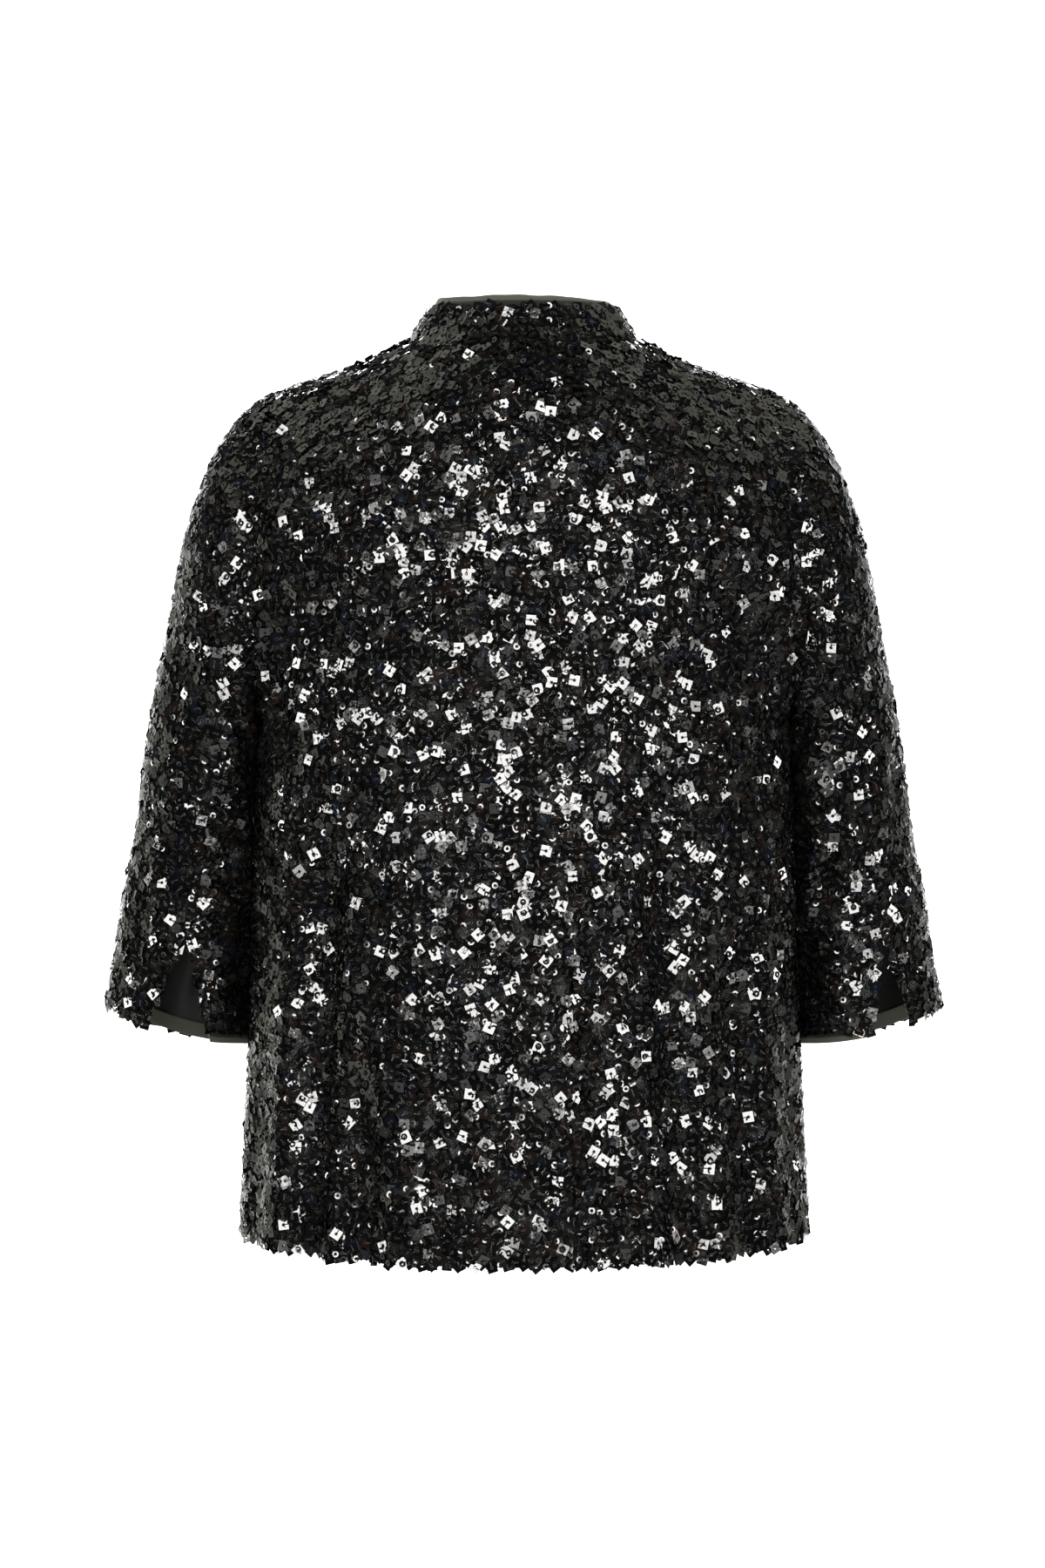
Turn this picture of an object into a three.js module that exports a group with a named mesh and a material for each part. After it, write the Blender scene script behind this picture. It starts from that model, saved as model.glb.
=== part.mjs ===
// A filled-out evening jacket with a stand collar, a back yoke and three-quarter sleeves slit at the cuff.
// Millimetres, +Z up. The front faces -Y and the wearer's left side is +X. The origin lies midway between
// the two points where the shoulders meet the neck. Every piece of cloth is a closed wall.
import * as THREE from "three";

// Walls and seams. The jacket's wall is the cloth with its layer of sequins.
const WALL = 2;
const FACING_WALL = 1.4;
const SEAM = 0.3;
const HALF_SEAM = SEAM / 2;
const COLLAR_SEAM = 0.35;
const CUFF_FACING_CLEAR = 0.6;
const FRONT_EDGE_GAP = 1;

// Levels and the armhole, whose plane leans out a little towards the underarm.
const HEM_Z = -599;
const YOKE_SEAM_Z = -111;
const UNDERARM_Z = -253;
const ARMHOLE_TOP_Z = -39.5;
const ARMHOLE_TOP_X = 170;
const ARMHOLE_LEAN = 0.028;
const ARMHOLE_HALF_DEPTH = 62;
const ARMHOLE_HALF_HEIGHT = (ARMHOLE_TOP_Z - UNDERARM_Z) / 2;
const ARMHOLE_MID_Z = ARMHOLE_TOP_Z - ARMHOLE_HALF_HEIGHT;

// The neck edge, an oval that dips at the centre back and much more at the centre front.
const NECK_HALF_WIDTH = 74;
const NECK_BACK = { y: 60, z: -4, slope: 1.1, shoulderSlope: 0.3 };
const NECK_FRONT = { y: 78, z: -62, slope: 1.4, shoulderSlope: 0.5 };
const NECK_DIP = 1.3;

// The stand collar leans in towards the neck. Its facing shows above the sequins.
const COLLAR_RISE = 21;
const COLLAR_LEAN = { left: 11.8, right: 13.5, back: 7, front: 12 };
const COLLAR_FACING_SHOWS = 4.2;

// The cuff facing shows below the sequins and reaches a little way up the inside.
const CUFF_FACING_SHOWS = 4;
const CUFF_FACING_HEIGHT = 10;

// Columns from the centre to the armhole, how many of them end on the neck edge, and columns of a sleeve.
const HALF_COLUMNS = 20;
const NECK_COLUMNS = 6;
const SLEEVE_COLUMNS = 32;
const YOKE_ROWS = 7;
const FRONT_CAP_ROWS = 8;

// The handle length that makes a quarter of an ellipse from one Bezier curve.
const ROUND_HANDLE = 0.5523;
const SECTION_ROUND = 2.3;

// How sharply the armhole's depth fades in from the body's edge at the underarm.
const UNDERARM_SHARPNESS = 14;

// Level sections of the body. Half width is at the side seam; above the underarm the armhole sets it.
const BODY = [
  { z: -599, halfWidth: 188, back: 131, front: 126, square: 2.3 },
  { z: -480, halfWidth: 182.5, back: 128, front: 124, square: 2.3 },
  { z: -360, halfWidth: 179, back: 122, front: 121, square: 2.3 },
  { z: -253, halfWidth: 176, back: 117, front: 118, square: 2.2 },
  { z: -200, halfWidth: 174.5, back: 115, front: 115, square: 1.9 },
  { z: -146, halfWidth: 173, back: 111, front: 109, square: 1.4 },
];

// The hem is a little higher at the side seams than at the centres. The rise fades out upwards.
const HEM_RISE = { height: 6, fadesOver: 60, sharpness: 5 };

// Heights of the body's rows, close together where the armhole curves into the underarm.
const BODY_ROWS = [
  HEM_Z, -570, -540, -508, -475, -442, -409, -376, -343, -310, -281,
  UNDERARM_Z, -249.5, -243, -231, -214, -194, -170, ARMHOLE_MID_Z,
];

// The shoulder line from the neck point out to the armhole.
const SHOULDER = [
  { x: 74, z: 0 },
  { x: 88, z: -7 },
  { x: 105, z: -16 },
  { x: 122, z: -22.5 },
  { x: 140, z: -28.5 },
  { x: 170, z: -39.5 },
];

// Soft upright folds of the body, each a trough. Turn is in degrees from the centre of its face, positive
// to the wearer's left, and drift is how far the trough has turned at its top. Its half width in degrees is
// spread times the widening. It fades in below its top and out above its bottom.
const FOLD_WIDENING = 1.6;
const FOLD_FADE = 110;
const BODY_FOLDS = [
  { face: 1, turn: 50, drift: -4, spread: 8, depth: 10, top: -290, bottom: -700 },
  { face: 1, turn: 35, drift: 3, spread: 7, depth: 7, top: -420, bottom: -700 },
  { face: 1, turn: 17, drift: -2, spread: 7, depth: 4, top: -400, bottom: -650 },
  { face: 1, turn: 1, drift: 2, spread: 7, depth: 5, top: -260, bottom: -520 },
  { face: 1, turn: -18, drift: 3, spread: 8, depth: 6, top: -330, bottom: -700 },
  { face: 1, turn: -34, drift: 3, spread: 8, depth: 9, top: -270, bottom: -700 },
  { face: 1, turn: -53, drift: 5, spread: 9, depth: 9, top: -340, bottom: -700 },
  { face: 1, turn: -70, drift: 2, spread: 8, depth: 5, top: -420, bottom: -700 },
  { face: 1, turn: 70, drift: -3, spread: 8, depth: 5, top: -400, bottom: -700 },
  { face: -1, turn: 16, drift: 3, spread: 7, depth: 6, top: -330, bottom: -700 },
  { face: -1, turn: 34, drift: 4, spread: 8, depth: 9, top: -280, bottom: -700 },
  { face: -1, turn: 54, drift: 3, spread: 9, depth: 8, top: -350, bottom: -700 },
  { face: -1, turn: 72, drift: -2, spread: 8, depth: 5, top: -420, bottom: -700 },
  { face: -1, turn: -20, drift: -3, spread: 8, depth: 7, top: -310, bottom: -700 },
  { face: -1, turn: -39, drift: -4, spread: 8, depth: 8, top: -270, bottom: -700 },
  { face: -1, turn: -59, drift: -2, spread: 9, depth: 7, top: -380, bottom: -700 },
];

// Rings of a sleeve from the armhole to the cuff: its outer and inner ends seen from behind, its half
// depth, how far its middle lies in front of the shoulder, how much its back is higher than its middle, and
// how much it sags between its outer and inner ends. Where it meets the body it is pressed flat.
const SLEEVE = [
  { outX: 170, outZ: -39.5, inX: 176, inZ: -253, halfDepth: 62, forward: 0, tip: 0, sag: 0 },
  { outX: 186, outZ: -51, inX: 175.5, inZ: -254.5, halfDepth: 62, forward: 1, tip: 0, sag: 0 },
  { outX: 197, outZ: -65, inX: 174, inZ: -257, halfDepth: 62, forward: 2, tip: 0, sag: 0 },
  { outX: 209, outZ: -86, inX: 172.5, inZ: -261, halfDepth: 62, forward: 4, tip: 0, sag: 0 },
  { outX: 222.5, outZ: -121, inX: 171.5, inZ: -268, halfDepth: 62, forward: 8, tip: 0, sag: 0 },
  { outX: 231, outZ: -156, inX: 171, inZ: -278, halfDepth: 61, forward: 12, tip: 0, sag: 0 },
  { outX: 238, outZ: -193, inX: 171, inZ: -292, halfDepth: 60, forward: 17, tip: 1, sag: 0 },
  { outX: 248, outZ: -238, inX: 171, inZ: -318, halfDepth: 58, forward: 23, tip: 2, sag: 0 },
  { outX: 255.5, outZ: -283, inX: 171, inZ: -347, halfDepth: 57, forward: 29, tip: 3, sag: 0 },
  { outX: 262, outZ: -330, inX: 171.5, inZ: -378, halfDepth: 56, forward: 34, tip: 4, sag: 1 },
  { outX: 271.5, outZ: -375, inX: 172, inZ: -409, halfDepth: 56, forward: 39, tip: 5, sag: 3 },
  { outX: 277, outZ: -412, inX: 173, inZ: -439, halfDepth: 57, forward: 43, tip: 5, sag: 5 },
  { outX: 284, outZ: -444, inX: 174, inZ: -469, halfDepth: 58, forward: 46, tip: 4, sag: 8 },
];
const CUFF = SLEEVE.length - 1;
const SLEEVE_CLEAR = 2;

// Soft creases of the sleeves. Ring is the place along the table above, turn the place round the sleeve in
// degrees from its outer side towards the back, and reach and spread are the half length and half width.
const SLEEVE_FOLDS = {
  left: [
    { ring: 8.6, turn: 118, lean: 14, reach: 1.5, spread: 24, depth: 5 },
    { ring: 6.4, turn: 62, lean: -12, reach: 1.6, spread: 22, depth: 3.5 },
    { ring: 10.2, turn: 48, lean: 8, reach: 1.6, spread: 20, depth: 3.5 },
    { ring: 7.8, turn: 250, lean: 10, reach: 1.6, spread: 26, depth: 5 },
    { ring: 9.8, turn: 305, lean: -10, reach: 1.5, spread: 22, depth: 4 },
  ],
  right: [
    { ring: 9.1, turn: 112, lean: 12, reach: 1.4, spread: 24, depth: 4.5 },
    { ring: 6.9, turn: 70, lean: -10, reach: 1.7, spread: 22, depth: 3.5 },
    { ring: 8.4, turn: 40, lean: 9, reach: 1.4, spread: 20, depth: 3.5 },
    { ring: 7.4, turn: 246, lean: 11, reach: 1.6, spread: 26, depth: 5 },
    { ring: 10.1, turn: 300, lean: -9, reach: 1.4, spread: 22, depth: 4 },
  ],
};

// The slit at the back of each cuff: where it ends, its middle and its half opening at the hem, in degrees.
const SLITS = {
  left: { ring: 10.1, turn: 89, halfOpen: 23 },
  right: { ring: 10.2, turn: 73, halfOpen: 16 },
};

// The right sleeve hangs a little closer to the body at its outer side.
const SLEEVE_REACH = { left: 1, right: 0.99 };

const radians = THREE.MathUtils.degToRad;
const lerp = THREE.MathUtils.lerp;
const smoothstep = THREE.MathUtils.smoothstep;

// The number of the span of rising or falling places that holds a place, or that lies nearest to it.
function spanAt(places, place) {
  const rising = places[1] > places[0];
  let i = 0;
  while (i < places.length - 2 && (rising ? place > places[i + 1] : place < places[i + 1])) i += 1;
  return i;
}

// The value of one column of a table at a place given in another column, on a smooth curve through the
// rows and straight on past the last ones.
function tableValue(table, placeColumn, place, column) {
  const i = spanAt(table.map((row) => row[placeColumn]), place);
  const before = table[Math.max(i - 1, 0)];
  const a = table[i];
  const b = table[i + 1];
  const after = table[Math.min(i + 2, table.length - 1)];
  const span = b[placeColumn] - a[placeColumn];
  const t = (place - a[placeColumn]) / span;
  if (t < 0 || t > 1) return lerp(a[column], b[column], t);
  const slopeA = ((b[column] - before[column]) / (b[placeColumn] - before[placeColumn])) * span;
  const slopeB = ((after[column] - a[column]) / (after[placeColumn] - a[placeColumn])) * span;
  const curve = 2 * a[column] - 2 * b[column] + slopeA + slopeB;
  const bend = 3 * b[column] - 3 * a[column] - 2 * slopeA - slopeB;
  return ((curve * t + bend) * t + slopeA) * t + a[column];
}

const SLEEVE_RINGS = SLEEVE.map((row, ring) => ({ ...row, ring }));

// A smooth hump that is 1 at zero and 0 from one outwards.
function hump(t) {
  return Math.abs(t) >= 1 ? 0 : (1 + Math.cos(Math.PI * t)) / 2;
}

function armholeX(z) {
  return ARMHOLE_TOP_X + ARMHOLE_LEAN * (ARMHOLE_TOP_Z - z);
}

function armholeDepth(z) {
  if (z <= UNDERARM_Z) return 0;
  return ARMHOLE_HALF_DEPTH * Math.sqrt(1 - ((z - ARMHOLE_MID_Z) / ARMHOLE_HALF_HEIGHT) ** 2);
}

function bodyHalfWidth(z) {
  return z >= UNDERARM_Z ? armholeX(z) : tableValue(BODY, "z", z, "halfWidth");
}

// How deep the body's folds are at a place on one face.
function bodyFoldDepth(face, turn, z) {
  return BODY_FOLDS.filter((fold) => fold.face === face).reduce((depth, fold) => {
    const fadeIn = 1 - smoothstep(z, fold.top - FOLD_FADE, fold.top);
    const fadeOut = smoothstep(z, fold.bottom, fold.bottom + FOLD_FADE);
    const middle = fold.turn + fold.drift * smoothstep(z, HEM_Z, fold.top);
    const across = (turn - middle) / (fold.spread * FOLD_WIDENING);
    return depth + fold.depth * fadeIn * fadeOut * hump(across);
  }, 0);
}

// A point of the body below the middle of the armhole. Across runs from -1 at the wearer's right edge to 1
// at the left edge of the face.
function bodyPoint(face, across, z) {
  const along = Math.sin((Math.abs(across) * Math.PI) / 2);
  const halfWidth = bodyHalfWidth(z);
  const depth = tableValue(BODY, "z", z, face > 0 ? "back" : "front");
  const square = tableValue(BODY, "z", z, "square");
  const edge = armholeDepth(z);
  const round = Math.max(1 - along ** SECTION_ROUND, 0) ** (1 / square);
  const fold = bodyFoldDepth(face, across * 90, z);
  const sharpness = UNDERARM_SHARPNESS * (1 - smoothstep(z, UNDERARM_Z, ARMHOLE_MID_Z));
  const x = Math.sign(across) * halfWidth * along;
  const y = depth * round + edge * along ** sharpness * (1 - round);
  const outward = new THREE.Vector2(x / halfWidth ** 2, y / depth ** 2).normalize();
  const seamY = Math.max(y - fold * outward.y, HALF_SEAM);
  const nearHem = 1 - smoothstep(z, HEM_Z, HEM_Z + HEM_RISE.fadesOver);
  const rise = HEM_RISE.height * along ** HEM_RISE.sharpness * nearHem;
  return new THREE.Vector3(x - fold * outward.x, face * seamY, z + rise);
}

// A point of the neck edge. Turn is in degrees from the centre of the face.
function neckPoint(face, turn) {
  const neck = face > 0 ? NECK_BACK : NECK_FRONT;
  const level = Math.cos(radians(turn));
  return new THREE.Vector3(
    NECK_HALF_WIDTH * Math.sin(radians(turn)),
    face * Math.max(neck.y * level, HALF_SEAM),
    neck.z * Math.max(level, 0) ** NECK_DIP,
  );
}

// The level direction that points straight out from the neck edge.
function neckOutward(face, turn) {
  const neck = face > 0 ? NECK_BACK : NECK_FRONT;
  return new THREE.Vector3(
    Math.sin(radians(turn)) / NECK_HALF_WIDTH,
    (face * Math.cos(radians(turn))) / neck.y,
    0,
  ).normalize();
}

// The curve that carries one column of a face from the middle of the armhole over to the shoulder line or
// up to the neck edge.
function capCurve(face, across) {
  const low = bodyPoint(face, across, ARMHOLE_MID_Z);
  const neckAcross = NECK_COLUMNS / HALF_COLUMNS;
  const side = Math.sign(across);
  const neck = face > 0 ? NECK_BACK : NECK_FRONT;
  let high;
  let slope;
  if (Math.abs(across) <= neckAcross) {
    const turn = (across / neckAcross) * 90;
    high = neckPoint(face, turn);
    slope = lerp(neck.shoulderSlope, neck.slope, Math.cos(radians(turn)));
  } else {
    const out = (Math.abs(across) - neckAcross) / (1 - neckAcross);
    const x = lerp(NECK_HALF_WIDTH, ARMHOLE_TOP_X, out);
    high = new THREE.Vector3(side * x, face * HALF_SEAM, tableValue(SHOULDER, "x", x, "z"));
    slope = neck.shoulderSlope * (1 - smoothstep(out, 0, 1));
  }
  const reach = ROUND_HANDLE * Math.abs(low.y - high.y);
  const lowHandle = low.clone();
  lowHandle.z = lerp(low.z, high.z, ROUND_HANDLE);
  lowHandle.x = lerp(low.x, high.x, ROUND_HANDLE);
  const highHandle = high.clone();
  highHandle.y += face * reach;
  highHandle.z -= slope * reach;
  highHandle.x = lerp(low.x, high.x, (highHandle.z - low.z) / (high.z - low.z));
  return new THREE.CubicBezierCurve3(low, lowHandle, highHandle, high);
}

// Where along a cap curve a level lies, found by halving.
const HALVINGS = 40;

function placeOfLevel(curve, z) {
  let low = 0;
  let high = 1;
  for (let i = 0; i < HALVINGS; i += 1) {
    const middle = (low + high) / 2;
    if (curve.getPoint(middle).z < z) low = middle;
    else high = middle;
  }
  return (low + high) / 2;
}

// Columns of a face from one place across it to another, running anticlockwise seen from above.
function columnsAcross(from, to) {
  const count = Math.round(Math.abs(to - from) * HALF_COLUMNS);
  return Array.from({ length: count + 1 }, (_, i) => lerp(from, to, i / count));
}

// Outward normals of a grid whose rows go up and whose columns run anticlockwise.
function gridNormals(rows, closedAt) {
  return rows.map((row, i) =>
    row.map((point, j) => {
      const last = row.length - 1;
      const closed = closedAt(i);
      const left = j > 0 ? row[j - 1] : closed ? row[last - 1] : point;
      const right = j < last ? row[j + 1] : closed ? row[1] : point;
      const below = rows[Math.max(i - 1, 0)][j];
      const above = rows[Math.min(i + 1, rows.length - 1)][j];
      const alongRow = right.clone().sub(left);
      const upColumn = above.clone().sub(below);
      return alongRow.cross(upColumn).normalize();
    }),
  );
}

// Turns a normal into the plane of a seam, so that the wall's edge lies in that plane.
function flattened(normal, seamNormal) {
  return normal.clone().addScaledVector(seamNormal, -normal.dot(seamNormal)).normalize();
}

const X_AXIS = new THREE.Vector3(1, 0, 0);
const Y_AXIS = new THREE.Vector3(0, 1, 0);
const Z_AXIS = new THREE.Vector3(0, 0, 1);

// Where a panel's normal points this much across its seam, the wall's edge no longer lies in the seam's
// plane: from the first value on it starts to leave it, and from the second on it ignores it.
const SEAM_TURN = { from: 0.4, to: 0.8 };

// A closed wall between the outer rows and the inner rows. Rows for which closedAt is true join their last
// column to their first, so a slit is a run of rows for which it is false.
function wallGeometry(outer, inner, closedAt = () => false) {
  const rowCount = outer.length;
  const last = outer[0].length - 1;
  const positions = [];
  const place = [];
  [outer, inner].forEach((rows, layer) => {
    place[layer] = rows.map((row, i) => {
      const indices = row.map((point, j) => {
        if (j === last && closedAt(i)) return -1;
        positions.push(point.x, point.y, point.z);
        return positions.length / 3 - 1;
      });
      if (closedAt(i)) indices[last] = indices[0];
      return indices;
    });
  });
  const triangles = [];
  const [out, into] = place;
  const quad = (a, b, c, d, onRight) => {
    if (onRight) triangles.push(b, c, d, b, d, a);
    else triangles.push(a, b, c, a, c, d);
  };
  const top = rowCount - 1;
  for (let j = 0; j < last; j += 1) {
    for (let i = 0; i < top; i += 1) {
      const onRight = outer[i][j].x + outer[i][j + 1].x < 0;
      quad(out[i][j], out[i][j + 1], out[i + 1][j + 1], out[i + 1][j], onRight);
      quad(into[i][j], into[i + 1][j], into[i + 1][j + 1], into[i][j + 1], onRight);
    }
    const lowRight = outer[0][j].x + outer[0][j + 1].x < 0;
    const topRight = outer[top][j].x + outer[top][j + 1].x < 0;
    quad(out[0][j], into[0][j], into[0][j + 1], out[0][j + 1], lowRight);
    quad(out[top][j], out[top][j + 1], into[top][j + 1], into[top][j], topRight);
  }
  for (let i = 0; i < top; i += 1) {
    if (!(closedAt(i) && closedAt(i + 1))) {
      quad(into[i][0], out[i][0], out[i + 1][0], into[i + 1][0], false);
      quad(out[i][last], into[i][last], into[i + 1][last], out[i + 1][last], false);
    }
  }
  const geometry = new THREE.BufferGeometry();
  geometry.setAttribute("position", new THREE.Float32BufferAttribute(positions, 3));
  geometry.setIndex(triangles);
  geometry.computeVertexNormals();
  return geometry;
}

// The direction of the armhole's plane on one side of the body.
function armholeNormal(side) {
  return new THREE.Vector3(side, 0, ARMHOLE_LEAN).normalize();
}

// A panel of the body's front or back. Heights are levels on the body below the cap, capPlaces gives the
// places of its rows along a cap curve, and the seams at the panel's edges are kept flat.
function bodyPanel({ face, columns, heights, capPlaces, endsAtTop }) {
  const outer = heights.map((z) => columns.map((across) => bodyPoint(face, across, z)));
  const curves = columns.map((across) => capCurve(face, across));
  const capRowCount = capPlaces(curves[0]).length;
  for (let i = 0; i < capRowCount; i += 1) {
    outer.push(curves.map((curve) => curve.getPoint(capPlaces(curve)[i])));
  }
  const halfGap = FRONT_EDGE_GAP / 2;
  columns.forEach((across, j) => {
    if (face < 0 && across === 0) {
      const side = Math.sign(columns[0] + columns[columns.length - 1]);
      outer.forEach((row) => (row[j].x = side * halfGap));
    }
  });
  const normals = gridNormals(outer, () => false);
  const top = outer.length - 1;
  const neckAcross = NECK_COLUMNS / HALF_COLUMNS;
  const inner = outer.map((row, i) =>
    row.map((point, j) => {
      const across = columns[j];
      let normal = normals[i][j];
      if (face < 0 && across === 0) normal = flattened(normal, X_AXIS);
      if (Math.abs(across) === 1) {
        const seam = point.z > UNDERARM_Z + 1 ? armholeNormal(Math.sign(across)) : Y_AXIS;
        const acrossSeam = smoothstep(Math.abs(normal.dot(seam)), SEAM_TURN.from, SEAM_TURN.to);
        normal = normal.clone().lerp(flattened(normal, seam), 1 - acrossSeam).normalize();
      }
      if (i === 0 || (i === top && !endsAtTop)) normal = flattened(normal, Z_AXIS);
      if (i === top && endsAtTop) {
        const onNeck = Math.abs(across) <= neckAcross;
        normal = onNeck ? neckOutward(face, (across / neckAcross) * 90) : flattened(normal, Y_AXIS);
      }
      return point.clone().addScaledVector(normal, -WALL);
    }),
  );
  return wallGeometry(outer, inner);
}

// Places from one to another, in even steps.
function steps(from, to, count) {
  return Array.from({ length: count + 1 }, (_, i) => lerp(from, to, i / count));
}

function backGeometry() {
  return bodyPanel({
    face: 1,
    columns: columnsAcross(1, -1),
    heights: BODY_ROWS,
    capPlaces: (curve) => steps(0, placeOfLevel(curve, YOKE_SEAM_Z - HALF_SEAM), 2).slice(1),
    endsAtTop: false,
  });
}

function yokeGeometry() {
  return bodyPanel({
    face: 1,
    columns: columnsAcross(1, -1),
    heights: [],
    capPlaces: (curve) => steps(placeOfLevel(curve, YOKE_SEAM_Z + HALF_SEAM), 1, YOKE_ROWS),
    endsAtTop: true,
  });
}

function frontGeometry(side) {
  return bodyPanel({
    face: -1,
    columns: side > 0 ? columnsAcross(0, 1) : columnsAcross(-1, 0),
    heights: BODY_ROWS,
    capPlaces: () => steps(0, 1, FRONT_CAP_ROWS).slice(1),
    endsAtTop: true,
  });
}

// A point on the outside of the left sleeve. Turn is in degrees from the outer side towards the back.
function sleevePoint(ring, turn, folds, reach) {
  const value = (column) => tableValue(SLEEVE_RINGS, "ring", ring, column);
  const outX = lerp(ARMHOLE_TOP_X, value("outX"), reach);
  const outZ = value("outZ");
  const inX = value("inX");
  const inZ = value("inZ");
  const across = Math.cos(radians(turn));
  const back = Math.sin(radians(turn));
  const point = new THREE.Vector3(
    lerp(inX, outX, (1 + across) / 2),
    value("halfDepth") * back - value("forward"),
    lerp(inZ, outZ, (1 + across) / 2) + value("tip") * back - value("sag") * back ** 2,
  );
  const depth = folds.reduce((sum, fold) => {
    const along = (ring - fold.ring) / fold.reach;
    const around = THREE.MathUtils.euclideanModulo(turn - fold.turn - fold.lean * along + 180, 360) - 180;
    return sum + fold.depth * hump(along) * hump(around / fold.spread);
  }, 0);
  const middle = new THREE.Vector3((outX + inX) / 2, -value("forward"), (outZ + inZ) / 2);
  point.addScaledVector(middle.sub(point).normalize(), depth);
  if (ring > 0) point.x = Math.max(point.x, besideBody(point) + SLEEVE_CLEAR * Math.min(ring, 1));
  else point.x = armholeX(point.z) + SEAM;
  return point;
}

// How far out the body's side or the armhole's plane lies beside a point.
function besideBody(point) {
  if (point.z > UNDERARM_Z) return armholeX(point.z);
  const depth = tableValue(BODY, "z", point.z, point.y > 0 ? "back" : "front");
  const square = tableValue(BODY, "z", point.z, "square");
  const left = Math.max(1 - (Math.min(Math.abs(point.y), depth) / depth) ** square, 0);
  return bodyHalfWidth(point.z) * left ** (1 / SECTION_ROUND);
}

// Rows of a sleeve's outer points from the cuff up, running anticlockwise from one edge of the slit round
// to the other.
function sleeveRows(sideName, rings, inset = 0) {
  const slit = SLITS[sideName];
  const folds = SLEEVE_FOLDS[sideName];
  const reach = SLEEVE_REACH[sideName];
  const rows = rings.map((ring) => {
    const open = slit.halfOpen * Math.max((ring - slit.ring) / (CUFF - slit.ring), 0);
    const turns = steps(slit.turn + open, slit.turn + 360 - open, SLEEVE_COLUMNS);
    return turns.map((turn) => sleevePoint(ring, turn, folds, reach));
  });
  if (inset === 0) return rows;
  const normals = gridNormals(rows, () => false);
  return rows.map((row, i) => row.map((point, j) => point.clone().addScaledVector(normals[i][j], -inset)));
}

// Mirrors rows to the wearer's right, and keeps their columns anticlockwise.
function mirrored(rows) {
  return rows.map((row) => row.map((point) => new THREE.Vector3(-point.x, point.y, point.z)).reverse());
}

function sleeveGeometry(sideName) {
  const slit = SLITS[sideName];
  const rings = [CUFF, (CUFF + slit.ring) / 2, slit.ring, 9, 8, 7, 6, 5, 4, 3, 2, 1, 0];
  const closedAt = (i) => rings[i] <= slit.ring;
  const outer = sleeveRows(sideName, rings);
  const normals = gridNormals(outer, closedAt);
  const top = outer.length - 1;
  const inner = outer.map((row, i) =>
    row.map((point, j) => {
      const normal = i === top ? flattened(normals[i][j], armholeNormal(1)) : normals[i][j];
      return point.clone().addScaledVector(normal, -WALL);
    }),
  );
  if (sideName === "left") return wallGeometry(outer, inner, closedAt);
  return wallGeometry(mirrored(outer), mirrored(inner), closedAt);
}

// The band inside a cuff. Ring steps are turned into a length along the sleeve near the cuff.
function cuffFacingGeometry(sideName) {
  const lastStep = SLEEVE[CUFF - 1].outZ - SLEEVE[CUFF].outZ;
  const below = CUFF + CUFF_FACING_SHOWS / lastStep;
  const above = below - CUFF_FACING_HEIGHT / lastStep;
  const rings = [below, CUFF, above];
  const outer = sleeveRows(sideName, rings, WALL + CUFF_FACING_CLEAR);
  const inner = sleeveRows(sideName, rings, WALL + CUFF_FACING_CLEAR + FACING_WALL);
  if (sideName === "left") return wallGeometry(outer, inner);
  return wallGeometry(mirrored(outer), mirrored(inner));
}

// Stations round the neck, anticlockwise from the left edge of the centre front.
function neckStations() {
  const turns = steps(0, 90, NECK_COLUMNS);
  const frontLeft = turns.map((turn) => ({ face: -1, turn }));
  const back = steps(90, -90, 2 * NECK_COLUMNS).map((turn) => ({ face: 1, turn }));
  const frontRight = turns.map((turn) => ({ face: -1, turn: turn - 90 }));
  return [...frontLeft.slice(0, -1), ...back, ...frontRight.slice(1)];
}

// A point of the stand collar's outside at a height from 0 at the neck edge to 1 at the sequins' top edge.
function collarPoint(station, height, inset) {
  const { face, turn } = station;
  const outward = neckOutward(face, turn);
  const level = Math.cos(radians(turn)) ** 2;
  const sideLean = turn > 0 ? COLLAR_LEAN.left : COLLAR_LEAN.right;
  const lean = lerp(sideLean, face > 0 ? COLLAR_LEAN.back : COLLAR_LEAN.front, level);
  const point = neckPoint(face, turn);
  if (Math.abs(turn) === 90) point.y = 0;
  point.addScaledVector(outward, -lean * height - inset);
  point.z += COLLAR_SEAM + COLLAR_RISE * height;
  return point;
}

function collarBand(wall, inset, heights) {
  const stations = neckStations();
  const halfGap = FRONT_EDGE_GAP / 2;
  const rowsAt = (depth) =>
    heights.map((height) =>
      stations.map((station, j) => {
        const point = collarPoint(station, height, depth);
        if (j === 0) point.x = halfGap;
        if (j === stations.length - 1) point.x = -halfGap;
        return point;
      }),
    );
  return wallGeometry(rowsAt(inset), rowsAt(inset + wall));
}

function collarGeometry() {
  return collarBand(WALL, 0, [0, 0.5, 1]);
}

function collarFacingGeometry() {
  const top = 1 + COLLAR_FACING_SHOWS / COLLAR_RISE;
  return collarBand(FACING_WALL, WALL + SEAM, [0, 0.5, 1, top]);
}

const sequinCloth = new THREE.MeshStandardMaterial({ color: 0x24241f, roughness: 0.3, metalness: 0 });
const facingCloth = new THREE.MeshStandardMaterial({ color: 0x4a4b40, roughness: 0.9, metalness: 0 });

const jacket = new THREE.Group();

function addPiece(name, geometry, material) {
  const mesh = new THREE.Mesh(geometry, material);
  mesh.name = name;
  jacket.add(mesh);
}

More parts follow.
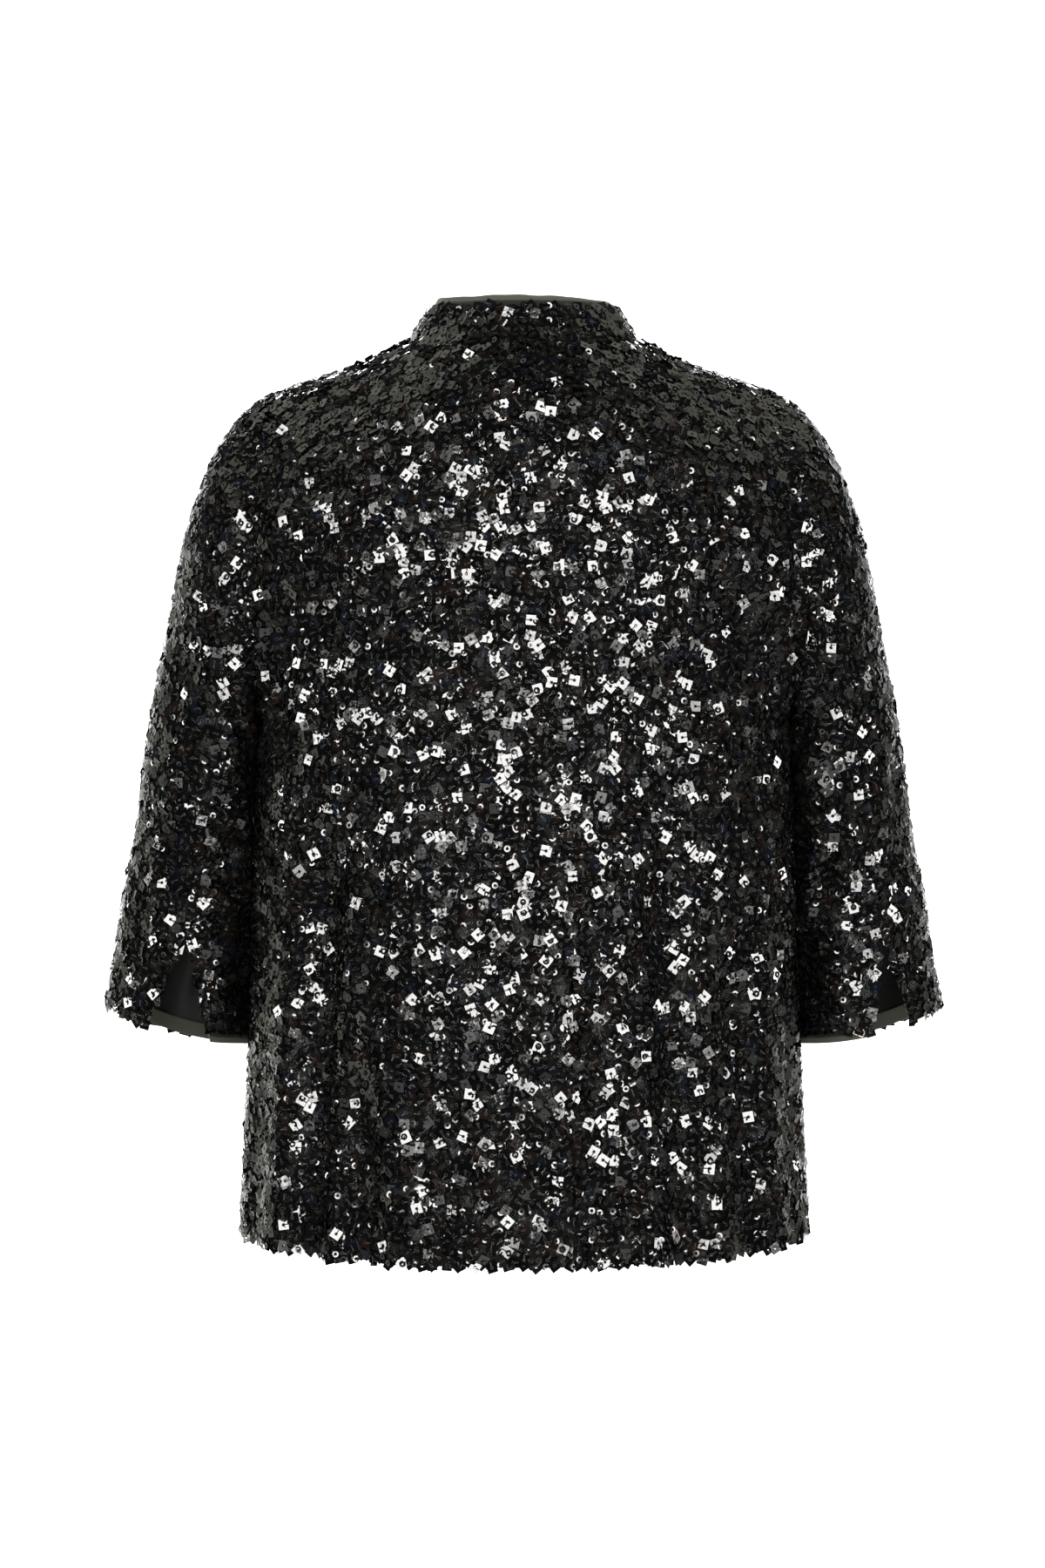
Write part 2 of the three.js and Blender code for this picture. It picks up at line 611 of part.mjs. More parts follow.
addPiece("back", backGeometry(), sequinCloth);
addPiece("back_yoke", yokeGeometry(), sequinCloth);
addPiece("front_left", frontGeometry(1), sequinCloth);
addPiece("front_right", frontGeometry(-1), sequinCloth);
addPiece("sleeve_left", sleeveGeometry("left"), sequinCloth);
addPiece("sleeve_right", sleeveGeometry("right"), sequinCloth);
addPiece("collar", collarGeometry(), sequinCloth);
addPiece("collar_facing", collarFacingGeometry(), facingCloth);
addPiece("cuff_facing_left", cuffFacingGeometry("left"), facingCloth);
addPiece("cuff_facing_right", cuffFacingGeometry("right"), facingCloth);

export default jacket;
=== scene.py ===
# A black jacket covered in sequins, filled out as worn, seen from behind. The tables are in millimetres in
# the part's own frame: +Z up, the back faces +Y, the wearer's left is +X. Meshes are made in metres.
import math

import bpy
import numpy as np
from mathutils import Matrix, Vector


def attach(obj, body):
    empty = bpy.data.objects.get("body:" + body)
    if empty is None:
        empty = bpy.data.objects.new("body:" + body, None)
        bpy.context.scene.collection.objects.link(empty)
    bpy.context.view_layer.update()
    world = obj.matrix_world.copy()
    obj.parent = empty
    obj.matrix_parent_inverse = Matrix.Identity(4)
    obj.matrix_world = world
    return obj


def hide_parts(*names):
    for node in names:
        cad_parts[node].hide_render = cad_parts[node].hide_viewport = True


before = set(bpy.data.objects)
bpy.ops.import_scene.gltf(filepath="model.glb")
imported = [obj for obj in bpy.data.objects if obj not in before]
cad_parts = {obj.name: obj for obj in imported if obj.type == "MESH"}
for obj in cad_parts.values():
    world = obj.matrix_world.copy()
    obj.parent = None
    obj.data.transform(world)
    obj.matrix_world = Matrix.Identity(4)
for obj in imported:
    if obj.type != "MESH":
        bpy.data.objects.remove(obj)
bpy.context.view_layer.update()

MM = 0.001


def table(columns, *rows):
    """A table as one array for each named column."""
    return dict(zip(columns.split(), np.array(rows, float).T))


def each_row(rows):
    """A table's rows, each as one value for each named column."""
    return [dict(zip(rows, values)) for values in np.stack(list(rows.values()), axis=1)]


# Walls and gaps. The cloth lies a little inside the solid's outer surface, under its sequins.
CLOTH_DEPTH = 1.1
CLOTH_WALL = 0.8
SOLID_WALL = 2.0
SEAM = 0.3
HALF_SEAM = SEAM / 2
COLLAR_SEAM = 0.35
FRONT_EDGE_GAP = 1.0
FACING_WALL = 1.4
CUFF_FACING_CLEAR = 0.6
FACING_EDGE_ROUND = 0.45

# Levels, and the armhole, an oval in a leaning plane.
HEM_Z = -599
YOKE_SEAM_Z = -111
UNDERARM_Z = -253
ARMHOLE_TOP_Z = -39.5
ARMHOLE_TOP_X = 170
ARMHOLE_LEAN = 0.028
ARMHOLE_HALF_DEPTH = 62
ARMHOLE_HALF_HEIGHT = (ARMHOLE_TOP_Z - UNDERARM_Z) / 2
ARMHOLE_MID_Z = ARMHOLE_TOP_Z - ARMHOLE_HALF_HEIGHT
UNDERARM_SHARPNESS = 14

# The neck edge and the collar. Each face has the edge's depth and level, the cloth's slopes at the centre and
# at the shoulder, and how far the collar leans in.
NECK_HALF_WIDTH = 74
NECK_DIP = 1.3
NECK = {
    1: {"y": 60, "z": -4, "slope": 1.1, "shoulder_slope": 0.3, "lean": 7},
    -1: {"y": 78, "z": -62, "slope": 1.4, "shoulder_slope": 0.5, "lean": 12},
}
# The share of a face's columns that end at the neck. The others end at the shoulder.
NECK_SHARE = 0.3
COLLAR_RISE = 21
COLLAR_SIDE_LEAN = {"left": 11.8, "right": 13.5}
# The collar's facing stands up past it, less to the wearer's right, and wavers: each wave's height, length
# and shift.
COLLAR_FACING_SHOWS = {"left": 3.9, "right": 1.9}
COLLAR_FACING_LOWERS = (15, 55)
COLLAR_FACING_WAVES = ((0.35, 9, 0), (0.2, 3.7, 1))

# Level sections of the body, and the handle length of a Bezier curve that makes a quarter ellipse.
SECTION_ROUND = 2.3
ROUND_HANDLE = 0.5523
BODY = table(
    "z half_width back front square",
    (-599, 188, 131, 126, 2.3),
    (-480, 182.5, 128, 124, 2.3),
    (-360, 179, 122, 121, 2.3),
    (-253, 176, 117, 118, 2.2),
    (-200, 174.5, 115, 115, 1.9),
    (-146, 173, 111, 109, 1.4),
)
SHOULDER = table(
    "x z",
    (74, 0),
    (88, -7),
    (105, -16),
    (122, -22.5),
    (140, -28.5),
    (170, -39.5),
)

# Soft upright folds of the body, each a trough: degrees from the centre of its face, how far it has turned
# at its top, half width in degrees, depth, and the levels where it fades out.
BODY_FOLDS = table(
    "face turn drift spread depth top bottom",
    (1, 50, -4, 8, 17, -290, -700),
    (1, 35, 3, 6.5, 15, -420, -700),
    (1, 17, -2, 7, 4, -400, -650),
    (1, 1, 2, 7, 5, -260, -520),
    (1, -18, 3, 8, 8, -330, -700),
    (1, -34, 3, 8, 14, -270, -700),
    (1, -53, 5, 9, 14, -340, -700),
    (1, -70, 2, 8, 5, -420, -700),
    (1, 70, -3, 8, 5, -400, -700),
    (-1, 16, 3, 7, 6, -330, -700),
    (-1, 34, 4, 8, 9, -280, -700),
    (-1, 54, 3, 9, 8, -350, -700),
    (-1, 72, -2, 8, 5, -420, -700),
    (-1, -20, -3, 8, 7, -310, -700),
    (-1, -39, -4, 8, 8, -270, -700),
    (-1, -59, -2, 9, 7, -380, -700),
)
# The height over which a fold fades, a factor on its half width, and how sharply it ends at a side seam.
FOLD_FADE = 110
FOLD_WIDENING = 1.35
FOLD_END_SHARPNESS = 24

# The hem is a little higher at the side seams than at the centres.
HEM_RISE = {"height": 6, "fades_over": 60, "sharpness": 5}

# Smaller creases of the body: where the middle is, how it leans from level in degrees, its half length and
# half width, and its depth. A negative depth is a ridge.
BODY_CREASES = table(
    "face turn z lean reach spread depth",
    (1, 22, -494, -4, 62, 13, 2.6),
    (1, 20, -477, -6, 50, 11, -1.2),
    (1, -22, -452, 78, 60, 13, 2.2),
    (1, 60, -268, 58, 62, 14, 3.2),
    (1, -61, -262, -56, 66, 14, 3.2),
    (1, 68, -232, 66, 42, 11, 2.4),
    (1, -69, -226, -64, 44, 11, 2.4),
    (1, 8, -331, 84, 74, 14, 2.2),
    (1, -6, -190, 80, 70, 17, 1.8),
    (1, 30, -182, 74, 52, 15, 2.0),
    (1, -33, -176, -74, 55, 15, 2.2),
    (1, -12, -548, 86, 50, 12, 3.0),
    (1, 28, -560, 84, 46, 11, 2.4),
    (-1, 62, -266, 58, 60, 14, 3.2),
    (-1, -60, -271, -58, 62, 14, 3.2),
    (-1, 18, -472, 6, 60, 13, 2.4),
    (-1, -24, -388, 80, 66, 13, 2.2),
    (-1, 26, -205, 70, 60, 15, 2.2),
    (-1, -29, -196, -72, 58, 15, 2.2),
    (-1, 10, -552, 86, 48, 12, 2.6),
    (-1, -30, -560, -84, 46, 11, 2.4),
)
MM_PER_DEGREE = 2.9

# Rows of a face up to the middle of the armhole: start, end and count of each stretch. They lie closest
# round the underarm. Then the rows above, and the columns.
BODY_ROWS = (
    (HEM_Z, -281, 54),
    (-281, UNDERARM_Z, 7),
    (UNDERARM_Z, -231, 12),
    (-231, ARMHOLE_MID_Z, 16),
)
BACK_CAP_ROWS = 6
FRONT_CAP_ROWS = 34
YOKE_ROWS = 36
BODY_COLUMNS = 121
FRONT_COLUMNS = 61

# Rings of a sleeve from the armhole to the cuff. Where it meets the body it is pressed flat.
SLEEVE = table(
    "ring out_x out_z in_x in_z half_depth forward tip sag",
    (0, 170, -39.5, 176, -253, 62, 0, 0, 0),
    (1, 186, -51, 175.5, -254.5, 62, 1, 0, 0),
    (2, 197, -65, 174, -257, 62, 2, 0, 0),
    (3, 209, -86, 172.5, -261, 62, 4, 0, 0),
    (4, 222.5, -121, 171.5, -268, 62, 8, 0, 0),
    (5, 231, -156, 171, -278, 61, 12, 0, 0),
    (6, 238, -193, 171, -292, 60, 17, 1, 0),
    (7, 248, -238, 171, -318, 58, 23, 2, 0),
    (8, 255.5, -283, 171, -347, 57, 29, 3, 0),
    (9, 262, -330, 171.5, -378, 56, 34, 4, 1),
    (10, 271.5, -375, 172, -409, 56, 39, 5, 3),
    (11, 277, -412, 173, -439, 57, 43, 5, 5),
    (12, 284, -444, 174, -469, 58, 46, 4, 8),
)
# The ring at the cuff, the step between rings there, and the gap between sleeve and body.
CUFF = 12
CUFF_STEP = 32
SLEEVE_CLEAR = 2
SLEEVE_REACH = {"left": 1, "right": 0.99}
# Where a slit starts, its degrees from the outer side towards the back, and its half width at the cuff.
SLITS = {
    "left": {"ring": 10.1, "turn": 89, "half_open": 23},
    "right": {"ring": 10.2, "turn": 73, "half_open": 16},
}
SLIT_ROWS = 18
SLEEVE_TOP_RING = 4
SLEEVE_ROWS = 44
SLEEVE_TOP_ROWS = 34
SLEEVE_COLUMNS = 97
CUFF_FACING_SHOWS = 4
CUFF_FACING_HEIGHT = 10
CUFF_FACING_ROWS = 6
COLLAR_COLUMNS_A_QUARTER = 25
COLLAR_ROWS = 9

# Creases of the sleeves: ring and degrees from the outer side towards the back, how the crease leans, half
# length in rings, half width in degrees, and depth. The first five of each are in the solids.
SLEEVE_FOLDS = {
    "left": table(
        "ring turn lean reach spread depth",
        (8.6, 118, 14, 1.5, 24, 5),
        (6.4, 62, -12, 1.6, 22, 3.5),
        (10.2, 48, 8, 1.6, 20, 3.5),
        (7.8, 250, 10, 1.6, 26, 5),
        (9.8, 305, -10, 1.5, 22, 4),
        (4.4, 96, 30, 1.3, 17, 2.6),
        (5.6, 128, 24, 1.4, 16, 2.6),
        (9.4, 84, -26, 0.9, 13, 2.2),
        (11.0, 138, 10, 1.2, 14, 2.4),
        (2.4, 112, 34, 1.2, 15, 2.0),
        (5.0, 226, -24, 1.4, 17, 2.6),
        (11.0, 268, 8, 1.2, 14, 2.4),
    ),
    "right": table(
        "ring turn lean reach spread depth",
        (9.1, 112, 12, 1.4, 24, 4.5),
        (6.9, 70, -10, 1.7, 22, 3.5),
        (8.4, 40, 9, 1.4, 20, 3.5),
        (7.4, 246, 11, 1.6, 26, 5),
        (10.1, 300, -9, 1.4, 22, 4),
        (4.0, 92, 28, 1.2, 17, 2.6),
        (5.3, 124, 26, 1.5, 16, 2.8),
        (10.2, 92, -22, 0.9, 13, 2.2),
        (10.8, 134, 12, 1.2, 14, 2.4),
        (2.6, 108, 32, 1.2, 15, 2.0),
        (5.4, 232, -22, 1.4, 17, 2.6),
        (10.8, 262, 10, 1.2, 14, 2.4),
    ),
}

# The seam of the back yoke shows as a shallow furrow. The search for its level halves a curve many times.
YOKE_FURROW = {"half_width": 6, "depth": 1.3}
HALVINGS = 40

# Sequins: side and hole of the squares, and width, hole and dish of the round ones.
SQUARE_SIDE = 6.7
SQUARE_HOLE = 1.9
ROUND_WIDTH = 4.4
ROUND_HOLE = 1.8
ROUND_CUP = 0.05
ROUND_SIDES = 8
SEQUIN_SCALE = (0.93, 1.05)

# Layers of sequins from the cloth outwards: the least distance between their middles, how far they tip in
# degrees, and how far they stand off the solid's outer surface.
LAYERS = {
    "under_squares": {"kind": "square", "apart": 5.5, "tip": 8, "lift": -0.7, "lift_spread": 0.3},
    "over_squares": {"kind": "square", "apart": 6.3, "tip": 11, "lift": 0.2, "lift_spread": 1.0},
    "rounds": {"kind": "round", "apart": 5.4, "tip": 12, "lift": 0.5, "lift_spread": 0.9},
}
LAYER_SEED_STEP = 20
MOST_TRIALS_A_SQUARE_METRE = 400000
THREAD_HALF_WIDTH = {"square": 0.38, "round": 0.22}
# The radius round a sequin's hole that is painted dark in the thread's colour: partly the thread's knot,
# partly painted shade in the hole.
KNOT_AND_HOLE_SHADE_RADIUS = 1.05

# How far the sequins stop short of an edge. At a cuff's outer side they hang past it.
COLLAR_SEQUINS_SHORT = 3.4
CUFF_SEQUINS_SHORT = 4
CUFF_SEQUINS_PAST = 3.2
CUFF_OUTER_SIDE = (205, 240)

# Each panel's cut laid flat in metres, all round on a tube, its area, and the seed of its sequins.
CUT = {
    "back": ((0.53, 0.50), 0.225, 1),
    "back_yoke": ((0.36, 0.16), 0.047, 2),
    "front_left": ((0.27, 0.62), 0.13, 3),
    "front_right": ((0.27, 0.62), 0.13, 4),
    "sleeve_left": ((0.37, 0.40), 0.104, 5),
    "sleeve_right": ((0.37, 0.40), 0.104, 6),
    "collar": ((0.45, 0.027), None, 7),
}

# The view of the photo: millimetres for each of its pixels, the pixel that holds the origin, and how far
# away the camera stands.
PHOTO_WIDTH = 1200
PHOTO_HEIGHT = 1800
MM_PER_PIXEL = 0.58
ORIGIN_PIXEL = (602, 388)
CAMERA_DISTANCE = 2100
SENSOR_HEIGHT = 36


# Helpers used by every form.
def hump(t):
    """1 at zero and 0 from one outwards."""
    return np.where(np.abs(t) >= 1, 0, (1 + np.cos(np.pi * np.clip(t, -1, 1))) / 2)


def smoothstep(value, low, high):
    t = np.clip((value - low) / (high - low), 0, 1)
    return t * t * (3 - 2 * t)


def lerp(a, b, t):
    return a + (b - a) * t


def unit(vectors):
    return vectors / np.maximum(np.linalg.norm(vectors, axis=-1, keepdims=True), 1e-12)


def stacked(x, y, z):
    """Points from three coordinates, each a number or an array."""
    return np.stack(np.broadcast_arrays(x, y, z), axis=-1)


def chained(*stretches):
    """Even steps over stretches that follow each other, each with its start, end and count."""
    steps = [np.linspace(start, end, count)[:-1] for start, end, count in stretches]
    return np.append(np.concatenate(steps), stretches[-1][1])


def table_value(rows, place_column, place, column):
    """A column's value at a place, on a smooth curve through the rows and straight on past them."""
    places = rows[place_column]
    values = rows[column]
    place = np.asarray(place, float)
    i = np.clip(np.searchsorted(places, place) - 1, 0, len(places) - 2)
    before = np.maximum(i - 1, 0)
    after = np.minimum(i + 2, len(places) - 1)
    span = places[i + 1] - places[i]
    t = (place - places[i]) / span
    slope_a = (values[i + 1] - values[before]) / (places[i + 1] - places[before]) * span
    slope_b = (values[after] - values[i]) / (places[after] - places[i]) * span
    curve = 2 * values[i] - 2 * values[i + 1] + slope_a + slope_b
    bend = 3 * values[i + 1] - 3 * values[i] - 2 * slope_a - slope_b
    smooth = ((curve * t + bend) * t + slope_a) * t + values[i]
    straight = lerp(values[i], values[i + 1], t)
    return np.where((t < 0) | (t > 1), straight, smooth)


# The body's form.
def armhole_x(z):
    """How far out the armhole's plane lies at a level."""
    return ARMHOLE_TOP_X + ARMHOLE_LEAN * (ARMHOLE_TOP_Z - z)


def armhole_depth(z):
    """Half the armhole's width from back to front at a level."""
    level = np.clip((z - ARMHOLE_MID_Z) / ARMHOLE_HALF_HEIGHT, -1, 1)
    return np.where(z <= UNDERARM_Z, 0, ARMHOLE_HALF_DEPTH * np.sqrt(1 - level**2))


def body_half_width(z):
    return np.where(z >= UNDERARM_Z, armhole_x(z), table_value(BODY, "z", z, "half_width"))


def body_fold_depth(face, turn, z):
    """How far the folds and creases sink the cloth. Turn is in degrees from the centre of the face."""
    depth = 0
    for fold in each_row(BODY_FOLDS):
        if fold["face"] != face:
            continue
        fade_in = 1 - smoothstep(z, fold["top"] - FOLD_FADE, fold["top"])
        fade_out = smoothstep(z, fold["bottom"], fold["bottom"] + FOLD_FADE)
        middle = fold["turn"] + fold["drift"] * smoothstep(z, HEM_Z, fold["top"])
        across = hump((turn - middle) / fold["spread"] / FOLD_WIDENING)
        depth = depth + fold["depth"] * fade_in * fade_out * across
    for crease in each_row(BODY_CREASES):
        if crease["face"] != face:
            continue
        lean = math.radians(crease["lean"])
        right = (turn - crease["turn"]) * MM_PER_DEGREE
        up = z - crease["z"]
        along = (right * math.cos(lean) + up * math.sin(lean)) / crease["reach"]
        aside = (up * math.cos(lean) - right * math.sin(lean)) / crease["spread"]
        depth = depth + crease["depth"] * hump(along) * hump(aside)
    return depth


def body_points(face, across, z):
    """Points of one face of the body. Across is 1 at the wearer's left side seam and -1 at the right one."""
    along = np.sin(np.abs(across) * np.pi / 2)
    half_width = body_half_width(z)
    depth = table_value(BODY, "z", z, "back" if face > 0 else "front")
    square = table_value(BODY, "z", z, "square")
    edge = armhole_depth(z)
    rounded = np.maximum(1 - along**SECTION_ROUND, 0) ** (1 / square)
    sharpness = UNDERARM_SHARPNESS * (1 - smoothstep(z, UNDERARM_Z, ARMHOLE_MID_Z))
    fold = body_fold_depth(face, across * 90, z) * (1 - np.abs(across) ** FOLD_END_SHARPNESS)
    x = np.sign(across) * half_width * along
    y = depth * rounded + edge * along**sharpness * (1 - rounded)
    out_x = x / half_width**2
    out_y = y / depth**2
    length = np.hypot(out_x, out_y)
    x = x - fold * out_x / length
    y = np.maximum(y - fold * out_y / length, HALF_SEAM)
    near_hem = 1 - smoothstep(z, HEM_Z, HEM_Z + HEM_RISE["fades_over"])
    rise = HEM_RISE["height"] * along ** HEM_RISE["sharpness"] * near_hem
    return stacked(x, face * y, z + rise)


def neck_points(face, turn):
    """Points of the neck edge. Turn is in degrees from the centre of the face."""
    level = np.maximum(np.cos(np.radians(turn)), 0)
    x = NECK_HALF_WIDTH * np.sin(np.radians(turn))
    y = face * np.maximum(NECK[face]["y"] * level, HALF_SEAM)
    return stacked(x, y, NECK[face]["z"] * level**NECK_DIP)


def neck_outward(face, turn):
    """The level direction that points away from the neck."""
    out_x = np.sin(np.radians(turn)) / NECK_HALF_WIDTH
    out_y = face * np.cos(np.radians(turn)) / NECK[face]["y"]
    return unit(stacked(out_x, out_y, 0))


def cap_handles(face, across):
    """The four points of each column's curve from the middle of the armhole to the shoulder or neck."""
    neck = NECK[face]
    low = body_points(face, across, np.full_like(across, ARMHOLE_MID_Z))
    turn = np.clip(across / NECK_SHARE, -1, 1) * 90
    on_neck = np.abs(across) <= NECK_SHARE
    out = np.clip((np.abs(across) - NECK_SHARE) / (1 - NECK_SHARE), 0, 1)
    shoulder_x = lerp(NECK_HALF_WIDTH, ARMHOLE_TOP_X, out)
    shoulder_z = table_value(SHOULDER, "x", shoulder_x, "z")
    shoulder = stacked(np.sign(across) * shoulder_x, face * HALF_SEAM, shoulder_z)
    high = np.where(on_neck[:, None], neck_points(face, turn), shoulder)
    neck_slope = lerp(neck["shoulder_slope"], neck["slope"], np.cos(np.radians(turn)))
    slope = np.where(on_neck, neck_slope, neck["shoulder_slope"] * (1 - smoothstep(out, 0, 1)))
    reach = ROUND_HANDLE * np.abs(low[:, 1] - high[:, 1])
    low_handle = low.copy()
    low_handle[:, 2] = lerp(low[:, 2], high[:, 2], ROUND_HANDLE)
    low_handle[:, 0] = lerp(low[:, 0], high[:, 0], ROUND_HANDLE)
    high_handle = high.copy()
    high_handle[:, 1] += face * reach
    high_handle[:, 2] -= slope * reach
    share = (high_handle[:, 2] - low[:, 2]) / (high[:, 2] - low[:, 2])
    high_handle[:, 0] = lerp(low[:, 0], high[:, 0], share)
    return low, low_handle, high_handle, high


def cap_points(handles, place):
    """Points along the columns' curves; place has a value for each column."""
    t = place[:, None]
    weights = ((1 - t) ** 3, 3 * t * (1 - t) ** 2, 3 * t * t * (1 - t), t**3)
    return sum(weight * handle for weight, handle in zip(weights, handles))


def place_of_level(handles, z):
    """Where each column's curve reaches a level, found by halving."""
    low = np.zeros(len(handles[0]))
    high = np.ones(len(handles[0]))
    for _ in range(HALVINGS):
        middle = (low + high) / 2
        below = cap_points(handles, middle)[:, 2] < z
        low = np.where(below, middle, low)
        high = np.where(below, high, middle)
    return (low + high) / 2


def grid_normals(rows, closed=False):
    """Outward normals of a grid whose rows go up and whose columns run anticlockwise from above."""
    if closed:
        right = np.roll(rows[:, :-1], -1, axis=1)
        left = np.roll(rows[:, :-1], 1, axis=1)
        along = np.concatenate([right - left, (right - left)[:, :1]], axis=1)
    else:
        along = np.gradient(rows, axis=1)
    return unit(np.cross(along, np.gradient(rows, axis=0)))


def body_rows(face, across, upto, cap_count):
    """Rows of a face from the hem up. Upto gives each column's last place on its cap curve."""
    rows = [body_points(face, across, np.full_like(across, z)) for z in chained(*BODY_ROWS)]
    handles = cap_handles(face, across)
    last = upto(handles)
    rows += [cap_points(handles, last * share) for share in np.linspace(0, 1, cap_count + 1)[1:]]
    return np.array(rows)


def yoke_rows(across):
    """Rows of the yoke, from its seam up to the shoulders and the neck."""
    handles = cap_handles(1, across)
    first = place_of_level(handles, YOKE_SEAM_Z + HALF_SEAM)
    return np.array([cap_points(handles, lerp(first, 1, share)) for share in np.linspace(0, 1, YOKE_ROWS)])


def with_furrow(rows, normals):
    """Sinks the cloth a little along the yoke's seam."""
    away = (rows[..., 2] - YOKE_SEAM_Z) / YOKE_FURROW["half_width"]
    return rows - normals * (YOKE_FURROW["depth"] * hump(away))[..., None]


# The sleeves' form.
def beside_body(points):
    """How far out the body's side, or the armhole's plane, lies beside each point."""
    y = np.abs(points[..., 1])
    z = points[..., 2]
    back = table_value(BODY, "z", z, "back")
    front = table_value(BODY, "z", z, "front")
    depth = np.where(points[..., 1] > 0, back, front)
    square = table_value(BODY, "z", z, "square")
    left = np.maximum(1 - (np.minimum(y, depth) / depth) ** square, 0)
    return np.where(z > UNDERARM_Z, armhole_x(z), body_half_width(z) * left ** (1 / SECTION_ROUND))


def sleeve_points(side, ring, turn):
    """Points on the outside of a sleeve, as on the wearer's left. Ring is one number, turn an array."""
    value = {name: table_value(SLEEVE, "ring", ring, name) for name in SLEEVE}
    out_x = lerp(ARMHOLE_TOP_X, value["out_x"], SLEEVE_REACH[side])
    across = np.cos(np.radians(turn))
    back = np.sin(np.radians(turn))
    points = stacked(
        lerp(value["in_x"], out_x, (1 + across) / 2),
        value["half_depth"] * back - value["forward"],
        lerp(value["in_z"], value["out_z"], (1 + across) / 2) + value["tip"] * back - value["sag"] * back**2,
    )
    depth = 0
    for fold in each_row(SLEEVE_FOLDS[side]):
        along = (ring - fold["ring"]) / fold["reach"]
        around = np.mod(turn - fold["turn"] - fold["lean"] * along + 180, 360) - 180
        depth = depth + fold["depth"] * hump(along) * hump(around / fold["spread"])
    middle = np.array([
        (out_x + value["in_x"]) / 2,
        -value["forward"],
        (value["out_z"] + value["in_z"]) / 2,
    ])
    points = points + unit(middle - points) * np.broadcast_to(depth, turn.shape)[:, None]
    if ring > 0:
        clear = beside_body(points) + SLEEVE_CLEAR * min(ring, 1)
        points[:, 0] = np.maximum(points[:, 0], clear)
    else:
        points[:, 0] = armhole_x(points[:, 2]) + SEAM
    return points


def sleeve_rows(side, rings):
    """Rows round a sleeve from one edge of its slit to the other, in the order of the rings."""
    slit = SLITS[side]
    rows = []
    for ring in rings:
        open_by = slit["half_open"] * max((ring - slit["ring"]) / (CUFF - slit["ring"]), 0)
        turn = np.linspace(slit["turn"] + open_by, slit["turn"] + 360 - open_by, SLEEVE_COLUMNS)
        rows.append(sleeve_points(side, ring, turn))
    rows = np.array(rows)
    if side == "left":
        return rows
    return rows[:, ::-1] * np.array([-1, 1, 1])


# Meshes.
def new_object(name, vertices, faces, materials, face_slots=None, smooth=True):
    """A mesh from vertices in millimetres."""
    mesh = bpy.data.meshes.new(name)
    mesh.from_pydata((np.asarray(vertices) * MM).tolist(), [], faces)
    for material in materials:
        mesh.materials.append(material)
    mesh.polygons.foreach_set("use_smooth", np.full(len(faces), smooth))
    if face_slots is not None:
        mesh.polygons.foreach_set("material_index", np.asarray(face_slots, dtype=np.int32))
    mesh.validate()
    piece = bpy.data.objects.new(name, mesh)
    bpy.context.collection.objects.link(piece)
    return piece


def add_uv(piece, name, coordinates):
    """A UV map in millimetres from one coordinate pair for each vertex."""
    layer = piece.data.uv_layers.new(name=name)
    corners = np.empty(len(piece.data.loops), dtype=np.int32)
    piece.data.loops.foreach_get("vertex_index", corners)
    layer.data.foreach_set("uv", np.asarray(coordinates, dtype=np.float32)[corners].ravel())


def cloth_uv(rows):
    """Millimetres along and up the cloth for each grid point."""
    step_along = np.linalg.norm(np.diff(rows, axis=1), axis=2)
    step_up = np.linalg.norm(np.diff(rows, axis=0), axis=2)
    along = np.concatenate([np.zeros((len(rows), 1)), np.cumsum(step_along, axis=1)], axis=1)
    along = along - along[:, [-1]] / 2
    up = np.concatenate([np.zeros((1, rows.shape[1])), np.cumsum(step_up, axis=0)])
    return np.stack([along, up], axis=-1)


def wall(name, outer, inner, materials, closed_above=None):
    """A closed wall between two grids. Rows from closed_above on join their last column to their first.
    The outer side has the first material, and the inner side and the edges have the second."""
    count, width = outer.shape[:2]
    top = count - 1
    size = count * width
    index = np.arange(size).reshape(count, width)
    if closed_above is not None:
        index[closed_above:, -1] = index[closed_above:, 0]
    faces = []
    slots = []

    def quad(a, b, c, d, slot):
        faces.append((int(a), int(b), int(c), int(d)))
        slots.append(slot)

    for i in range(top):
        for j in range(width - 1):
            corners = (index[i, j], index[i, j + 1], index[i + 1, j + 1], index[i + 1, j])
            quad(*corners, 0)
            quad(*(size + corner for corner in reversed(corners)), 1)
        if closed_above is None or i < closed_above:
            quad(size + index[i, 0], index[i, 0], index[i + 1, 0], size + index[i + 1, 0], 1)
            quad(index[i, -1], size + index[i, -1], size + index[i + 1, -1], index[i + 1, -1], 1)
    for j in range(width - 1):
        quad(size + index[0, j], size + index[0, j + 1], index[0, j + 1], index[0, j], 1)
        quad(index[top, j], index[top, j + 1], size + index[top, j + 1], size + index[top, j], 1)
    vertices = np.concatenate([outer.reshape(-1, 3), inner.reshape(-1, 3)])
    used = np.unique(np.array(faces))
    renumber = np.full(2 * size, -1)
    renumber[used] = np.arange(len(used))
    faces = [tuple(int(renumber[v]) for v in face) for face in faces]
    piece = new_object(name, vertices[used], faces, materials, slots)
    uv = cloth_uv(outer).reshape(-1, 2)
    add_uv(piece, "cloth_mm", np.concatenate([uv, uv])[used])
    return piece


def sewing_surface(name, rows):
    """The open surface that sequins are sewn on. It is removed once they are made."""
    count, width = rows.shape[:2]
    index = np.arange(count * width).reshape(count, width)
    faces = [
        (int(index[i, j]), int(index[i, j + 1]), int(index[i + 1, j + 1]), int(index[i + 1, j]))
        for i in range(count - 1)
        for j in range(width - 1)
    ]
    return new_object(name, rows.reshape(-1, 3), faces, [])


